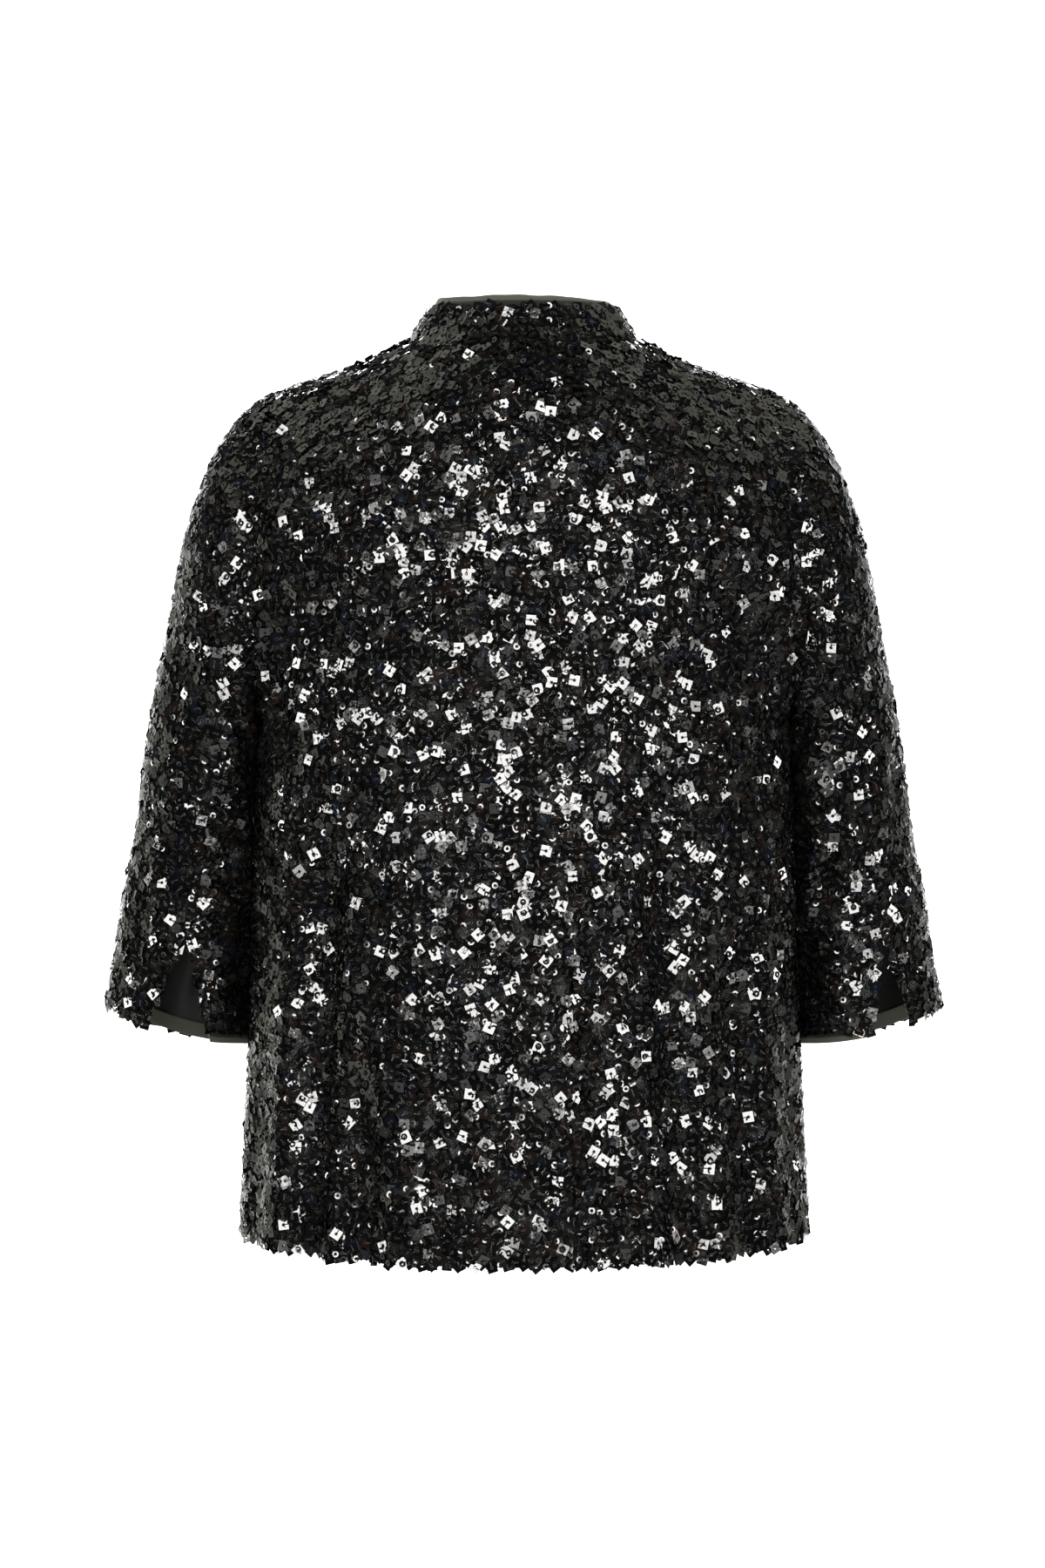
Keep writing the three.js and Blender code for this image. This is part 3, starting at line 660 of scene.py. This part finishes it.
# Shader maths: a wrapped socket with operators, and one method for every other node.
class Wire:
    """An output socket of a material, on which ordinary arithmetic adds Math nodes."""

    def __init__(self, tree, socket):
        self.tree = tree
        self.socket = socket

    def node(self, kind, settings=None, output=0, **inputs):
        """Adds a node, sets its settings, links or sets its sockets, and returns one of its outputs."""
        made = self.tree.nodes.new(kind)
        for key, value in (settings or {}).items():
            if key == "stops":
                set_stops(made, value)
            else:
                setattr(made, key, value)
        for key, value in inputs.items():
            place = int(key[1:]) if key[1:].isdigit() else key.replace("_", " ")
            socket = made.inputs[place]
            if isinstance(value, Wire):
                self.tree.links.new(value.socket, socket)
            else:
                socket.default_value = value
        return Wire(self.tree, made.outputs[output])

    def maths(self, operation, a, b=0.0):
        return self.node("ShaderNodeMath", {"operation": operation}, _0=a, _1=b)

    def __add__(self, other):
        return self.maths("ADD", self, other)

    def __sub__(self, other):
        return self.maths("SUBTRACT", self, other)

    def __mul__(self, other):
        return self.maths("MULTIPLY", self, other)

    def __radd__(self, other):
        return self.maths("ADD", other, self)

    def __rsub__(self, other):
        return self.maths("SUBTRACT", other, self)

    def __rmul__(self, other):
        return self.maths("MULTIPLY", other, self)

    def __lt__(self, other):
        return self.maths("LESS_THAN", self, other)

    def __gt__(self, other):
        return self.maths("GREATER_THAN", self, other)

    def size(self):
        return self.maths("ABSOLUTE", self)


def set_stops(ramp_node, stops):
    """Stops of a colour ramp as (place, colour) pairs."""
    ramp = ramp_node.color_ramp
    while len(ramp.elements) < len(stops):
        ramp.elements.new(0.5)
    for element, (place, colour) in zip(ramp.elements, stops):
        element.position = place
        element.color = (*colour, 1)


def new_material(name, **constants):
    """A material, its shader node and a wire to start from."""
    material = bpy.data.materials.new(name)
    material.use_nodes = True
    tree = material.node_tree
    tree.nodes.clear()
    shader = tree.nodes.new("ShaderNodeBsdfPrincipled")
    output = tree.nodes.new("ShaderNodeOutputMaterial")
    tree.links.new(shader.outputs[0], output.inputs["Surface"])
    for key, value in constants.items():
        shader.inputs[key.replace("_", " ")].default_value = value
    return material, shader, Wire(tree, None)


def connect(wire, shader, socket):
    wire.tree.links.new(wire.socket, shader.inputs[socket])


def mixed(wire, factor, a, b):
    """A colour between a and b, each a wire or three numbers."""
    a, b = (colour if isinstance(colour, Wire) else (*colour, 1) for colour in (a, b))
    return wire.node("ShaderNodeMix", {"data_type": "RGBA"}, output=2, _0=factor, _6=a, _7=b)


# Colours of the foil, from the commonest to the rarest, of its thread, which is also painted round each
# sequin's hole as shade, and of the cloths.
JET = (0.0012, 0.0012, 0.0011)
OLIVE_BLACK = (0.006, 0.0062, 0.005)
BROWN_BLACK = (0.009, 0.005, 0.0032)
BLUE_BLACK = (0.0025, 0.004, 0.008)
# The thread's colour, which is also painted round each hole as shade.
THREAD_AND_HOLE_SHADE = (0.0018, 0.0018, 0.0018)
NET_GAP = (0.0035, 0.0035, 0.0032)
NET_THREAD = (0.0012, 0.0012, 0.0012)
LINING_DARK = (0.0012, 0.0012, 0.0011)
LINING_LIGHT = (0.0028, 0.0028, 0.0026)
FACING_DARK = (0.035, 0.036, 0.027)
FACING_LIGHT = (0.075, 0.077, 0.06)
FACING_WORN = (0.05, 0.053, 0.04)
FACING_NAP = (0.75, 0.78, 0.66)

# The colour and the roughness of the foil by the sequin's chance, and the roughness of its thread and of the
# painted shade round its hole.
FOIL_COLOURS = (
    (0.0, JET), (0.5, JET), (0.62, OLIVE_BLACK), (0.8, JET), (0.88, BROWN_BLACK), (0.93, JET),
    (0.97, BLUE_BLACK),
)
FOIL_ROUGHNESS = ((0.0, 0.05), (0.3, 0.09), (0.55, 0.06), (0.63, 0.2), (0.7, 0.06), (1.0, 0.1))
THREAD_ROUGHNESS = 0.55


def sequin_material(kind):
    """Glossy black plastic foil, a little different from one sequin to the next, with its sewing thread and a
    dark disc round the hole that is partly the thread's knot and partly painted shade in the hole.
    """
    material, shader, start = new_material(f"black_{kind}_foil", Specular_IOR_Level=0.62)
    tone = start.node("ShaderNodeAttribute", {"attribute_name": "tone"}, output="Fac")
    uv = start.node("ShaderNodeUVMap", {"uv_map": "sequin_mm"})
    along = uv.node("ShaderNodeSeparateXYZ", output="X", Vector=uv)
    up = Wire(uv.tree, along.socket.node.outputs["Y"])
    out = uv.node("ShaderNodeVectorMath", {"operation": "LENGTH"}, output="Value", _0=uv)
    thread_and_hole_shade = (along.size() < THREAD_HALF_WIDTH[kind]) * (up > 0)
    # Painted shade: a dark disc round the hole, partly the thread's knot and partly shade in the hole.
    thread_and_hole_shade = thread_and_hole_shade.maths("MAXIMUM", thread_and_hole_shade, out < KNOT_AND_HOLE_SHADE_RADIUS)
    foil = tone.node("ShaderNodeValToRGB", {"stops": FOIL_COLOURS}, Fac=tone)
    connect(mixed(start, thread_and_hole_shade, foil, THREAD_AND_HOLE_SHADE), shader, "Base Color")
    grey_stops = [(place, (grey,) * 3) for place, grey in FOIL_ROUGHNESS]
    gloss = tone.node("ShaderNodeValToRGB", {"stops": grey_stops}, Fac=tone)
    connect(gloss.maths("MAXIMUM", gloss, thread_and_hole_shade * THREAD_ROUGHNESS), shader, "Roughness")
    object_place = start.node("ShaderNodeTexCoord", output="Object")
    scuffs = start.node("ShaderNodeTexNoise", Vector=object_place, Scale=300.0, Detail=1.0, Roughness=0.4)
    bump = start.node("ShaderNodeBump", Height=scuffs, Strength=0.06, Distance=0.0004)
    connect(bump, shader, "Normal")
    return material


def mesh_cloth_material():
    """The fine black net that the sequins are sewn on."""
    material, shader, start = new_material("black_net", Sheen_Weight=0.1, Specular_IOR_Level=0.25)
    uv = start.node("ShaderNodeUVMap", {"uv_map": "cloth_mm"})
    threads = start.node("ShaderNodeTexBrick", {"offset": 0.5}, output="Fac", Vector=uv, Scale=1.0,
                         Mortar_Size=0.12, Brick_Width=0.9, Row_Height=0.9)
    connect(mixed(start, threads, NET_GAP, NET_THREAD), shader, "Base Color")
    connect(0.8 - threads * 0.15, shader, "Roughness")
    connect(start.node("ShaderNodeBump", Height=threads, Strength=0.5, Distance=0.0002), shader, "Normal")
    return material


def lining_material():
    """The smooth near-black inside."""
    material, shader, start = new_material("black_lining", Sheen_Weight=0.05, Specular_IOR_Level=0.2)
    uv = start.node("ShaderNodeUVMap", {"uv_map": "cloth_mm"})
    ribs = start.node("ShaderNodeTexWave", {"bands_direction": "Y"}, output="Fac", Vector=uv, Scale=1.1,
                      Distortion=0.6, Detail=1.0)
    cloudy = start.node("ShaderNodeTexNoise", Vector=uv, Scale=0.05, Detail=3.0)
    connect(mixed(start, cloudy, LINING_DARK, LINING_LIGHT), shader, "Base Color")
    connect(0.42 + cloudy * 0.16, shader, "Roughness")
    connect(start.node("ShaderNodeBump", Height=ribs, Strength=0.12, Distance=0.0001), shader, "Normal")
    return material


def facing_material():
    """The plain olive-grey facing, a close cloth with a short nap."""
    material, shader, start = new_material("olive_facing", Sheen_Weight=0.35, Sheen_Roughness=0.5,
                                           Specular_IOR_Level=0.2)
    shader.inputs["Sheen Tint"].default_value = (*FACING_NAP, 1)
    uv = start.node("ShaderNodeUVMap", {"uv_map": "cloth_mm"})
    nap = start.node("ShaderNodeTexNoise", Vector=uv, Scale=2.4, Detail=4.0, Roughness=0.65)
    clouds = start.node("ShaderNodeTexNoise", Vector=uv, Scale=0.12, Detail=2.0)
    weave = start.node("ShaderNodeTexWave", {"bands_direction": "DIAGONAL"}, output="Fac", Vector=uv,
                       Scale=1.6, Distortion=1.5, Detail=1.0)
    shade = mixed(start, nap, FACING_DARK, FACING_LIGHT)
    connect(mixed(start, clouds * 0.5, shade, FACING_WORN), shader, "Base Color")
    connect(0.82 + nap * 0.12, shader, "Roughness")
    height = nap * 0.6 + weave * 0.4
    connect(start.node("ShaderNodeBump", Height=height, Strength=0.5, Distance=0.00025), shader, "Normal")
    return material


# Sequins: one of each kind, and the tree that sews them on.
def square_sequin():
    """One flat square with a hole, its UV in millimetres from its middle."""
    half = SQUARE_SIDE / 2
    hole = SQUARE_HOLE / 2
    outer = [(-half, -half), (half, -half), (half, half), (-half, half)]
    inner = [(0, -hole), (hole, 0), (0, hole), (-hole, 0)]
    places = outer + inner
    faces = []
    for i in range(4):
        after = (i + 1) % 4
        faces += [(i, after, 4 + after), (i, 4 + after, 4 + i)]
    piece = new_object("square_sequin", [(x, y, 0) for x, y in places], faces, [], smooth=False)
    add_uv(piece, "sequin_mm", places)
    return piece


def round_sequin():
    """One small dished ring."""
    places = []
    heights = []
    for radius, height in ((ROUND_WIDTH / 2, ROUND_CUP), (ROUND_HOLE / 2, 0)):
        for i in range(ROUND_SIDES):
            angle = 2 * math.pi * i / ROUND_SIDES
            places.append((radius * math.cos(angle), radius * math.sin(angle)))
            heights.append(height)
    faces = []
    for i in range(ROUND_SIDES):
        after = (i + 1) % ROUND_SIDES
        faces.append((i, after, ROUND_SIDES + after, ROUND_SIDES + i))
    vertices = [(x, y, height) for (x, y), height in zip(places, heights)]
    piece = new_object("round_sequin", vertices, faces, [])
    add_uv(piece, "sequin_mm", places)
    return piece


def sewing_tree():
    """Geometry nodes that sew one kind of sequin all over a surface, each turned and tipped by chance."""
    tree = bpy.data.node_groups.new("sewn_sequins", "GeometryNodeTree")
    inputs = {
        "Geometry": "Geometry", "Sequin": "Object", "Material": "Material", "Apart": "Float",
        "Lift": "Float", "Lift Spread": "Float", "Tip": "Float", "Seed": "Int",
    }
    for name, kind in inputs.items():
        tree.interface.new_socket(name, in_out="INPUT", socket_type="NodeSocket" + kind)
    tree.interface.new_socket("Geometry", in_out="OUTPUT", socket_type="NodeSocketGeometry")

    def add(kind, **settings):
        node = tree.nodes.new(kind)
        for key, value in settings.items():
            setattr(node, key, value)
        return node

    def link(source, target):
        tree.links.new(source, target)

    def put(value, socket):
        if isinstance(value, bpy.types.NodeSocket):
            link(value, socket)
        else:
            socket.default_value = value

    def numbers(operation, a, b):
        node = add("ShaderNodeMath", operation=operation)
        put(a, node.inputs[0])
        put(b, node.inputs[1])
        return node.outputs[0]

    def in_use(sockets, name):
        return next(socket for socket in sockets if socket.name == name and socket.enabled)

    def chance(low, high, seed_step):
        """A number by chance for each point. Each use has its own step from the seed."""
        node = add("FunctionNodeRandomValue", data_type="FLOAT")
        put(low, in_use(node.inputs, "Min"))
        put(high, in_use(node.inputs, "Max"))
        link(numbers("ADD", given.outputs["Seed"], seed_step), node.inputs["Seed"])
        return in_use(node.outputs, "Value")

    given = add("NodeGroupInput")
    result = add("NodeGroupOutput")
    spread = add("GeometryNodeDistributePointsOnFaces", distribute_method="POISSON")
    link(given.outputs["Geometry"], spread.inputs["Mesh"])
    link(given.outputs["Apart"], spread.inputs["Distance Min"])
    spread.inputs["Density Max"].default_value = MOST_TRIALS_A_SQUARE_METRE
    link(given.outputs["Seed"], spread.inputs["Seed"])
    lifted = add("GeometryNodeSetPosition")
    raise_by = add("ShaderNodeVectorMath", operation="SCALE")
    link(spread.outputs["Normal"], raise_by.inputs[0])
    lift = numbers("ADD", given.outputs["Lift"], chance(0.0, given.outputs["Lift Spread"], 11))
    link(lift, raise_by.inputs["Scale"])
    link(spread.outputs["Points"], lifted.inputs["Geometry"])
    link(raise_by.outputs[0], lifted.inputs["Offset"])
    toned = add("GeometryNodeStoreNamedAttribute", data_type="FLOAT", domain="POINT")
    toned.inputs["Name"].default_value = "tone"
    link(lifted.outputs[0], toned.inputs["Geometry"])
    link(chance(0.0, 1.0, 12), in_use(toned.inputs, "Value"))
    minus_tip = numbers("MULTIPLY", given.outputs["Tip"], -1.0)
    angles = add("ShaderNodeCombineXYZ")
    for axis, step in (("X", 13), ("Y", 15)):
        first = chance(minus_tip, given.outputs["Tip"], step)
        second = chance(minus_tip, given.outputs["Tip"], step + 1)
        link(numbers("ADD", first, second), angles.inputs[axis])
    link(chance(0.0, 2 * math.pi, 17), angles.inputs["Z"])
    turning = add("FunctionNodeEulerToRotation")
    link(angles.outputs[0], turning.inputs[0])
    turned = add("FunctionNodeRotateRotation", rotation_space="LOCAL")
    link(spread.outputs["Rotation"], turned.inputs["Rotation"])
    link(turning.outputs[0], turned.inputs["Rotate By"])
    one = add("GeometryNodeObjectInfo", transform_space="ORIGINAL")
    link(given.outputs["Sequin"], one.inputs["Object"])
    sewn = add("GeometryNodeInstanceOnPoints")
    link(toned.outputs[0], sewn.inputs["Points"])
    link(one.outputs["Geometry"], sewn.inputs["Instance"])
    link(turned.outputs[0], sewn.inputs["Rotation"])
    link(chance(*SEQUIN_SCALE, 18), sewn.inputs["Scale"])
    real = add("GeometryNodeRealizeInstances")
    link(sewn.outputs[0], real.inputs[0])
    coated = add("GeometryNodeSetMaterial")
    link(real.outputs[0], coated.inputs["Geometry"])
    link(given.outputs["Material"], coated.inputs["Material"])
    link(coated.outputs[0], result.inputs[0])
    return tree


def sew(name, surface, layer, seed):
    """Sews one layer of sequins on a surface and returns them as one plain mesh."""
    sequin, material = KINDS[layer["kind"]]
    modifier = surface.modifiers.new("sewing", "NODES")
    modifier.node_group = sewing
    sockets = {item.name: item.identifier for item in sewing.interface.items_tree if item.in_out == "INPUT"}
    modifier[sockets["Sequin"]] = sequin
    modifier[sockets["Material"]] = material
    modifier[sockets["Apart"]] = layer["apart"] * MM
    modifier[sockets["Lift"]] = layer["lift"] * MM
    modifier[sockets["Lift Spread"]] = layer["lift_spread"] * MM
    modifier[sockets["Tip"]] = math.radians(layer["tip"])
    modifier[sockets["Seed"]] = seed
    surface.update_tag()
    bpy.context.view_layer.update()
    made = surface.evaluated_get(bpy.context.evaluated_depsgraph_get())
    mesh = bpy.data.meshes.new_from_object(made)
    mesh.name = name
    surface.modifiers.remove(modifier)
    piece = bpy.data.objects.new(name, mesh)
    bpy.context.collection.objects.link(piece)
    return piece


# Each kind of sequin with its foil, the cloths, and the tree that sews.
KINDS = {
    "square": (square_sequin(), sequin_material("square")),
    "round": (round_sequin(), sequin_material("round")),
}
net = mesh_cloth_material()
lining = lining_material()
facing_cloth = facing_material()
sewing = sewing_tree()


def sequinned(node, rows, cloth_outer, cloth_inner, closed_above=None):
    """The cloth of one panel and its sequins, which stand for the panel's node."""
    flat, area, seed = CUT[node]
    cloth = wall(node + "_cloth", cloth_outer, cloth_inner, [net, lining], closed_above)
    surface = sewing_surface(node + "_surface", rows)
    sequins = [
        sew(node + "_" + layer_name, surface, layer, seed + LAYER_SEED_STEP * place)
        for place, (layer_name, layer) in enumerate(LAYERS.items())
    ]
    bpy.data.objects.remove(surface)
    for piece in (cloth, *sequins):
        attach(piece, "root")
        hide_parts(node)


def cloth_layers(rows, normals):
    """The outer and inner sides of the cloth that lies inside a panel's surface."""
    return rows - normals * CLOTH_DEPTH, rows - normals * (CLOTH_DEPTH + CLOTH_WALL)


def back_panel():
    """The back below the yoke."""
    def seam(handles):
        return place_of_level(handles, YOKE_SEAM_Z - HALF_SEAM)

    rows = body_rows(1, np.linspace(1, -1, BODY_COLUMNS), seam, BACK_CAP_ROWS)
    normals = grid_normals(rows)
    rows = with_furrow(rows, normals)
    sequinned("back", rows, *cloth_layers(rows, normals))


def yoke_panel():
    """The yoke of the back."""
    rows = yoke_rows(np.linspace(1, -1, BODY_COLUMNS))
    normals = grid_normals(rows)
    rows = with_furrow(rows, normals)
    sequinned("back_yoke", rows, *cloth_layers(rows, normals))


def front_panel(side):
    """One plain front, with a straight edge at the centre."""
    left = side == "left"
    across = np.linspace(0, 1, FRONT_COLUMNS) if left else np.linspace(-1, 0, FRONT_COLUMNS)
    rows = body_rows(-1, across, lambda handles: np.ones(len(handles[0])), FRONT_CAP_ROWS)
    centre = 0 if left else -1
    rows[:, centre, 0] = FRONT_EDGE_GAP / 2 * (1 if left else -1)
    normals = grid_normals(rows)
    sequinned("front_" + side, rows, *cloth_layers(rows, normals))


def fringe(edge):
    """The lowest line of sequins of a cuff. It hangs past the edge at the sleeve's outer side and stops
    short of it at the inner side, where the facing shows."""
    outer_side = smoothstep(np.abs(edge[:, 0]), *CUFF_OUTER_SIDE)
    down = lerp(-CUFF_SEQUINS_SHORT, CUFF_SEQUINS_PAST, outer_side)
    return edge - stacked(0, 0, down)


def sleeve(side):
    """One sleeve, from its cuff up. It is a closed tube above the slit."""
    slit_top = SLITS[side]["ring"]
    closed_above = SLIT_ROWS - 1
    rows = sleeve_rows(side, chained(
        (CUFF, slit_top, SLIT_ROWS),
        (slit_top, SLEEVE_TOP_RING, SLEEVE_ROWS),
        (SLEEVE_TOP_RING, 0, SLEEVE_TOP_ROWS),
    ))
    normals = grid_normals(rows, closed=True)
    normals[:closed_above] = grid_normals(rows)[:closed_above]
    sewn = rows.copy()
    sewn[0] = fringe(rows[0])
    sequinned("sleeve_" + side, sewn, *cloth_layers(rows, normals), closed_above=closed_above)


def neck_stations():
    """Places round the neck, anticlockwise from the left edge of the centre front: face and turn."""
    quarter = np.linspace(0, 90, COLLAR_COLUMNS_A_QUARTER)
    front_left = [(-1, turn) for turn in quarter[:-1]]
    back = [(1, turn) for turn in np.linspace(90, -90, 2 * COLLAR_COLUMNS_A_QUARTER - 1)]
    front_right = [(-1, turn - 90) for turn in quarter[1:]]
    return front_left + back + front_right


def collar_rows(heights, inset):
    """Rows of the collar. Each height is a share of its rise, or a function of the point below it."""
    stations = neck_stations()
    rows = []
    for height in heights:
        row = []
        for place, (face, turn) in enumerate(stations):
            outward = neck_outward(face, turn)
            level = math.cos(math.radians(turn)) ** 2
            side_lean = COLLAR_SIDE_LEAN["left" if turn > 0 else "right"]
            lean = lerp(side_lean, NECK[face]["lean"], level)
            point = neck_points(face, turn)
            if abs(turn) == 90:
                point[1] = 0
            up = height(point) if callable(height) else height
            point = point - outward * (lean * up + inset)
            point[2] += COLLAR_SEAM + COLLAR_RISE * up
            if place in (0, len(stations) - 1):
                point[0] = FRONT_EDGE_GAP / 2 * (1 if place == 0 else -1)
            row.append(point)
        rows.append(row)
    return np.array(rows)


def collar():
    """The stand collar, whose sequins stop short of its top edge."""
    heights = np.linspace(0, 1, COLLAR_ROWS)
    outer = collar_rows(heights, CLOTH_DEPTH)
    inner = collar_rows(heights, CLOTH_DEPTH + CLOTH_WALL)
    rows = collar_rows(np.linspace(0, 1 - COLLAR_SEQUINS_SHORT / COLLAR_RISE, COLLAR_ROWS), 0)
    sequinned("collar", rows, outer, inner)


def facing(node, outer, inner):
    """A plain facing with a softly rounded edge."""
    piece = wall(node + "_band", outer, inner, [facing_cloth, facing_cloth])
    bevel = piece.modifiers.new("soft_edge", "BEVEL")
    bevel.width = FACING_EDGE_ROUND * MM
    bevel.segments = 2
    bevel.limit_method = "ANGLE"
    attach(piece, "root")
    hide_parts(node)


def collar_facing():
    """The facing inside the collar. It shows above the collar's edge."""
    def shown(point):
        """How far up the facing ends above a point of the neck edge."""
        right = smoothstep(-point[0], *COLLAR_FACING_LOWERS)
        waver = sum(high * math.sin(point[0] / long + shift) for high, long, shift in COLLAR_FACING_WAVES)
        level = lerp(COLLAR_FACING_SHOWS["left"], COLLAR_FACING_SHOWS["right"], right)
        return 1 + (level + waver * (1 - 0.5 * right)) / COLLAR_RISE

    heights = [0, 0.25, 0.5, 0.75, 1, shown]
    outer = collar_rows(heights, SOLID_WALL + SEAM)
    inner = collar_rows(heights, SOLID_WALL + SEAM + FACING_WALL)
    facing("collar_facing", outer, inner)


def cuff_facing(side):
    """The facing inside one cuff. It shows below the sleeve's edge."""
    below = CUFF + CUFF_FACING_SHOWS / CUFF_STEP
    above = below - CUFF_FACING_HEIGHT / CUFF_STEP
    rows = sleeve_rows(side, np.linspace(below, above, CUFF_FACING_ROWS))
    normals = grid_normals(rows)
    outer = rows - normals * (SOLID_WALL + CUFF_FACING_CLEAR)
    facing("cuff_facing_" + side, outer, outer - normals * FACING_WALL)


# The studio, in metres: a pale floor that bends up into a backdrop.
FLOOR_Z = -2.0
FLOOR_EDGE_Y = 1.4
BACKDROP_Y = -4.6
BACKDROP_TOP_Z = 3.2
BEND = 0.8
BEND_STEPS = 16
SWEEP_HALF_WIDTH = 6.5
SWEEP_COLOURS = ((0.93, 0.93, 0.93), (0.95, 0.95, 0.95))


def studio():
    """The floor and the backdrop."""
    bend_y = BACKDROP_Y + BEND
    bend_z = FLOOR_Z + BEND
    profile = [(FLOOR_EDGE_Y, FLOOR_Z), (bend_y, FLOOR_Z)]
    for i in range(1, BEND_STEPS + 1):
        angle = i / BEND_STEPS * math.pi / 2
        profile.append((bend_y - BEND * math.sin(angle), bend_z - BEND * math.cos(angle)))
    profile.append((BACKDROP_Y, BACKDROP_TOP_Z))
    ends = (-SWEEP_HALF_WIDTH, SWEEP_HALF_WIDTH)
    vertices = [(x / MM, y / MM, z / MM) for y, z in profile for x in ends]
    faces = [(2 * i, 2 * i + 1, 2 * i + 3, 2 * i + 2) for i in range(len(profile) - 1)]
    material, shader, start = new_material("pale_floor", Roughness=0.9, Specular_IOR_Level=0.1)
    place = start.node("ShaderNodeTexCoord", output="Object")
    grain = start.node("ShaderNodeTexNoise", Vector=place, Scale=3.0, Detail=2.0)
    connect(mixed(start, grain, *SWEEP_COLOURS), shader, "Base Color")
    sweep = new_object("pale_sweep", vertices, faces, [material])


def soft_light(name, place, target, width, height, brightness, colour):
    """A lamp whose size in metres doesn't change how bright it looks."""
    lamp = bpy.data.lights.new(name, "AREA")
    lamp.shape = "RECTANGLE"
    lamp.size = width
    lamp.size_y = height
    lamp.energy = brightness * math.pi * width * height
    lamp.color = colour
    light = bpy.data.objects.new(name, lamp)
    light.location = place
    light.rotation_euler = (Vector(target) - Vector(place)).to_track_quat("-Z", "Y").to_euler()
    bpy.context.collection.objects.link(light)


# Brightness and colour of the lamps, and of the room.
GLINT = 20
FRONT_GLINT = 14
SWEEP_BRIGHTNESS = 24
ROOM_BRIGHTNESS = 0.045
OLIVE_WHITE = (1.0, 1.0, 0.84)
WARM_WHITE = (1.0, 0.985, 0.965)
WHITE = (1.0, 1.0, 1.0)
ROOM_COLOUR = (0.95, 0.97, 1.0)

# Square lamps that the tipped sequins mirror as bright glints: the turn from the middle of the back towards
# the wearer's right, the rise, and the side in metres.
MIDDLE_OF_BACK = (0, 0.1, -0.28)
LAMP_DISTANCE = 2.3
GLINT_LAMPS = {
    "key": (-2, 15, 0.5),
    "near_left": (-31, 11, 0.44),
    "near_right": (29, 10, 0.46),
    "left": (-58, 10, 0.36),
    "right": (57, 9, 0.4),
    "high": (-6, 48, 0.44),
    "high_left": (-58, 48, 0.3),
    "high_right": (34, 50, 0.36),
    "low": (2, -10, 0.26),
    "low_left": (-28, -12, 0.26),
    "low_right": (33, -12, 0.36),
    "low_far_left": (-68, -4, 0.16),
    "low_far_right": (74, -8, 0.28),
    "far_left": (-92, 6, 0.3),
    "far_right": (98, 0, 0.16),
    "foot": (0, -24, 0.4),
}

# Panels over and beside the jacket, small lamps before the fronts, and lamps for the backdrop: place, target,
# width, height, brightness and colour.
PANELS = {
    "roof_left": ((1.4, -0.4, 1.65), (0.1, 0, -0.05), 1.8, 1.4, 0.9, OLIVE_WHITE),
    "roof_right": ((-1.4, -0.4, 1.65), (-0.1, 0, -0.05), 1.8, 1.4, 0.8, OLIVE_WHITE),
    "left_panel": ((2.1, -1.15, -0.5), (0, 0, -0.3), 1.4, 1.8, 0.75, OLIVE_WHITE),
    "cuff_panel": ((2.0, 0.2, -1.5), (0.25, 0, -0.45), 0.9, 0.9, 0.8, OLIVE_WHITE),
    "right_panel": ((-2.15, -1.05, -0.6), (0, 0, -0.45), 1.2, 1.2, 0.4, OLIVE_WHITE),
    "front_high_left": ((0.62, -1.9, 0.9), (0, 0, -0.3), 0.3, 0.3, FRONT_GLINT, WHITE),
    "front_high_right": ((-0.66, -1.9, 0.84), (0, 0, -0.3), 0.3, 0.3, FRONT_GLINT, WHITE),
    "front_low_left": ((0.7, -1.85, -1.35), (0, 0, -0.3), 0.3, 0.3, FRONT_GLINT, WHITE),
    "front_low_right": ((-0.64, -1.9, -1.4), (0, 0, -0.3), 0.3, 0.3, FRONT_GLINT, WHITE),
    "sweep_left": ((1.6, -0.7, -0.3), (1.2, -4.6, -0.5), 1.0, 2.2, SWEEP_BRIGHTNESS, WHITE),
    "sweep_right": ((-1.6, -0.7, -0.3), (-1.2, -4.6, -0.5), 1.0, 2.2, SWEEP_BRIGHTNESS, WHITE),
}


def lights():
    """The lamps, and the dim pale room."""
    x, y, z = MIDDLE_OF_BACK
    for name, (turn, rise, side) in GLINT_LAMPS.items():
        level = LAMP_DISTANCE * math.cos(math.radians(rise))
        place = (
            x - level * math.sin(math.radians(turn)),
            y + level * math.cos(math.radians(turn)),
            z + LAMP_DISTANCE * math.sin(math.radians(rise)),
        )
        soft_light(name, place, MIDDLE_OF_BACK, side, side, GLINT, WARM_WHITE)
    for name, panel in PANELS.items():
        soft_light(name, *panel)
    world = bpy.data.worlds.new("pale_room")
    world.use_nodes = True
    background = world.node_tree.nodes["Background"]
    background.inputs["Color"].default_value = (*ROOM_COLOUR, 1)
    background.inputs["Strength"].default_value = ROOM_BRIGHTNESS
    bpy.context.scene.world = world
    bpy.context.scene.view_settings.view_transform = "Standard"


def camera():
    """The photo's view, square on to the back."""
    lens_data = bpy.data.cameras.new("photo_view")
    lens_data.sensor_fit = "VERTICAL"
    lens_data.sensor_height = SENSOR_HEIGHT
    lens_data.lens = SENSOR_HEIGHT * CAMERA_DISTANCE / (PHOTO_HEIGHT * MM_PER_PIXEL)
    view = bpy.data.objects.new("photo_view", lens_data)
    x = (ORIGIN_PIXEL[0] - PHOTO_WIDTH / 2) * MM_PER_PIXEL
    z = (ORIGIN_PIXEL[1] - PHOTO_HEIGHT / 2) * MM_PER_PIXEL
    view.location = (x * MM, CAMERA_DISTANCE * MM, z * MM)
    view.rotation_euler = (math.radians(90), 0, math.radians(180))
    bpy.context.collection.objects.link(view)
    bpy.context.scene.camera = view


back_panel()
yoke_panel()
front_panel("left")
front_panel("right")
sleeve("left")
sleeve("right")
collar()
collar_facing()
cuff_facing("left")
cuff_facing("right")
for template, material in KINDS.values():
    bpy.data.objects.remove(template)
studio()
lights()
camera()
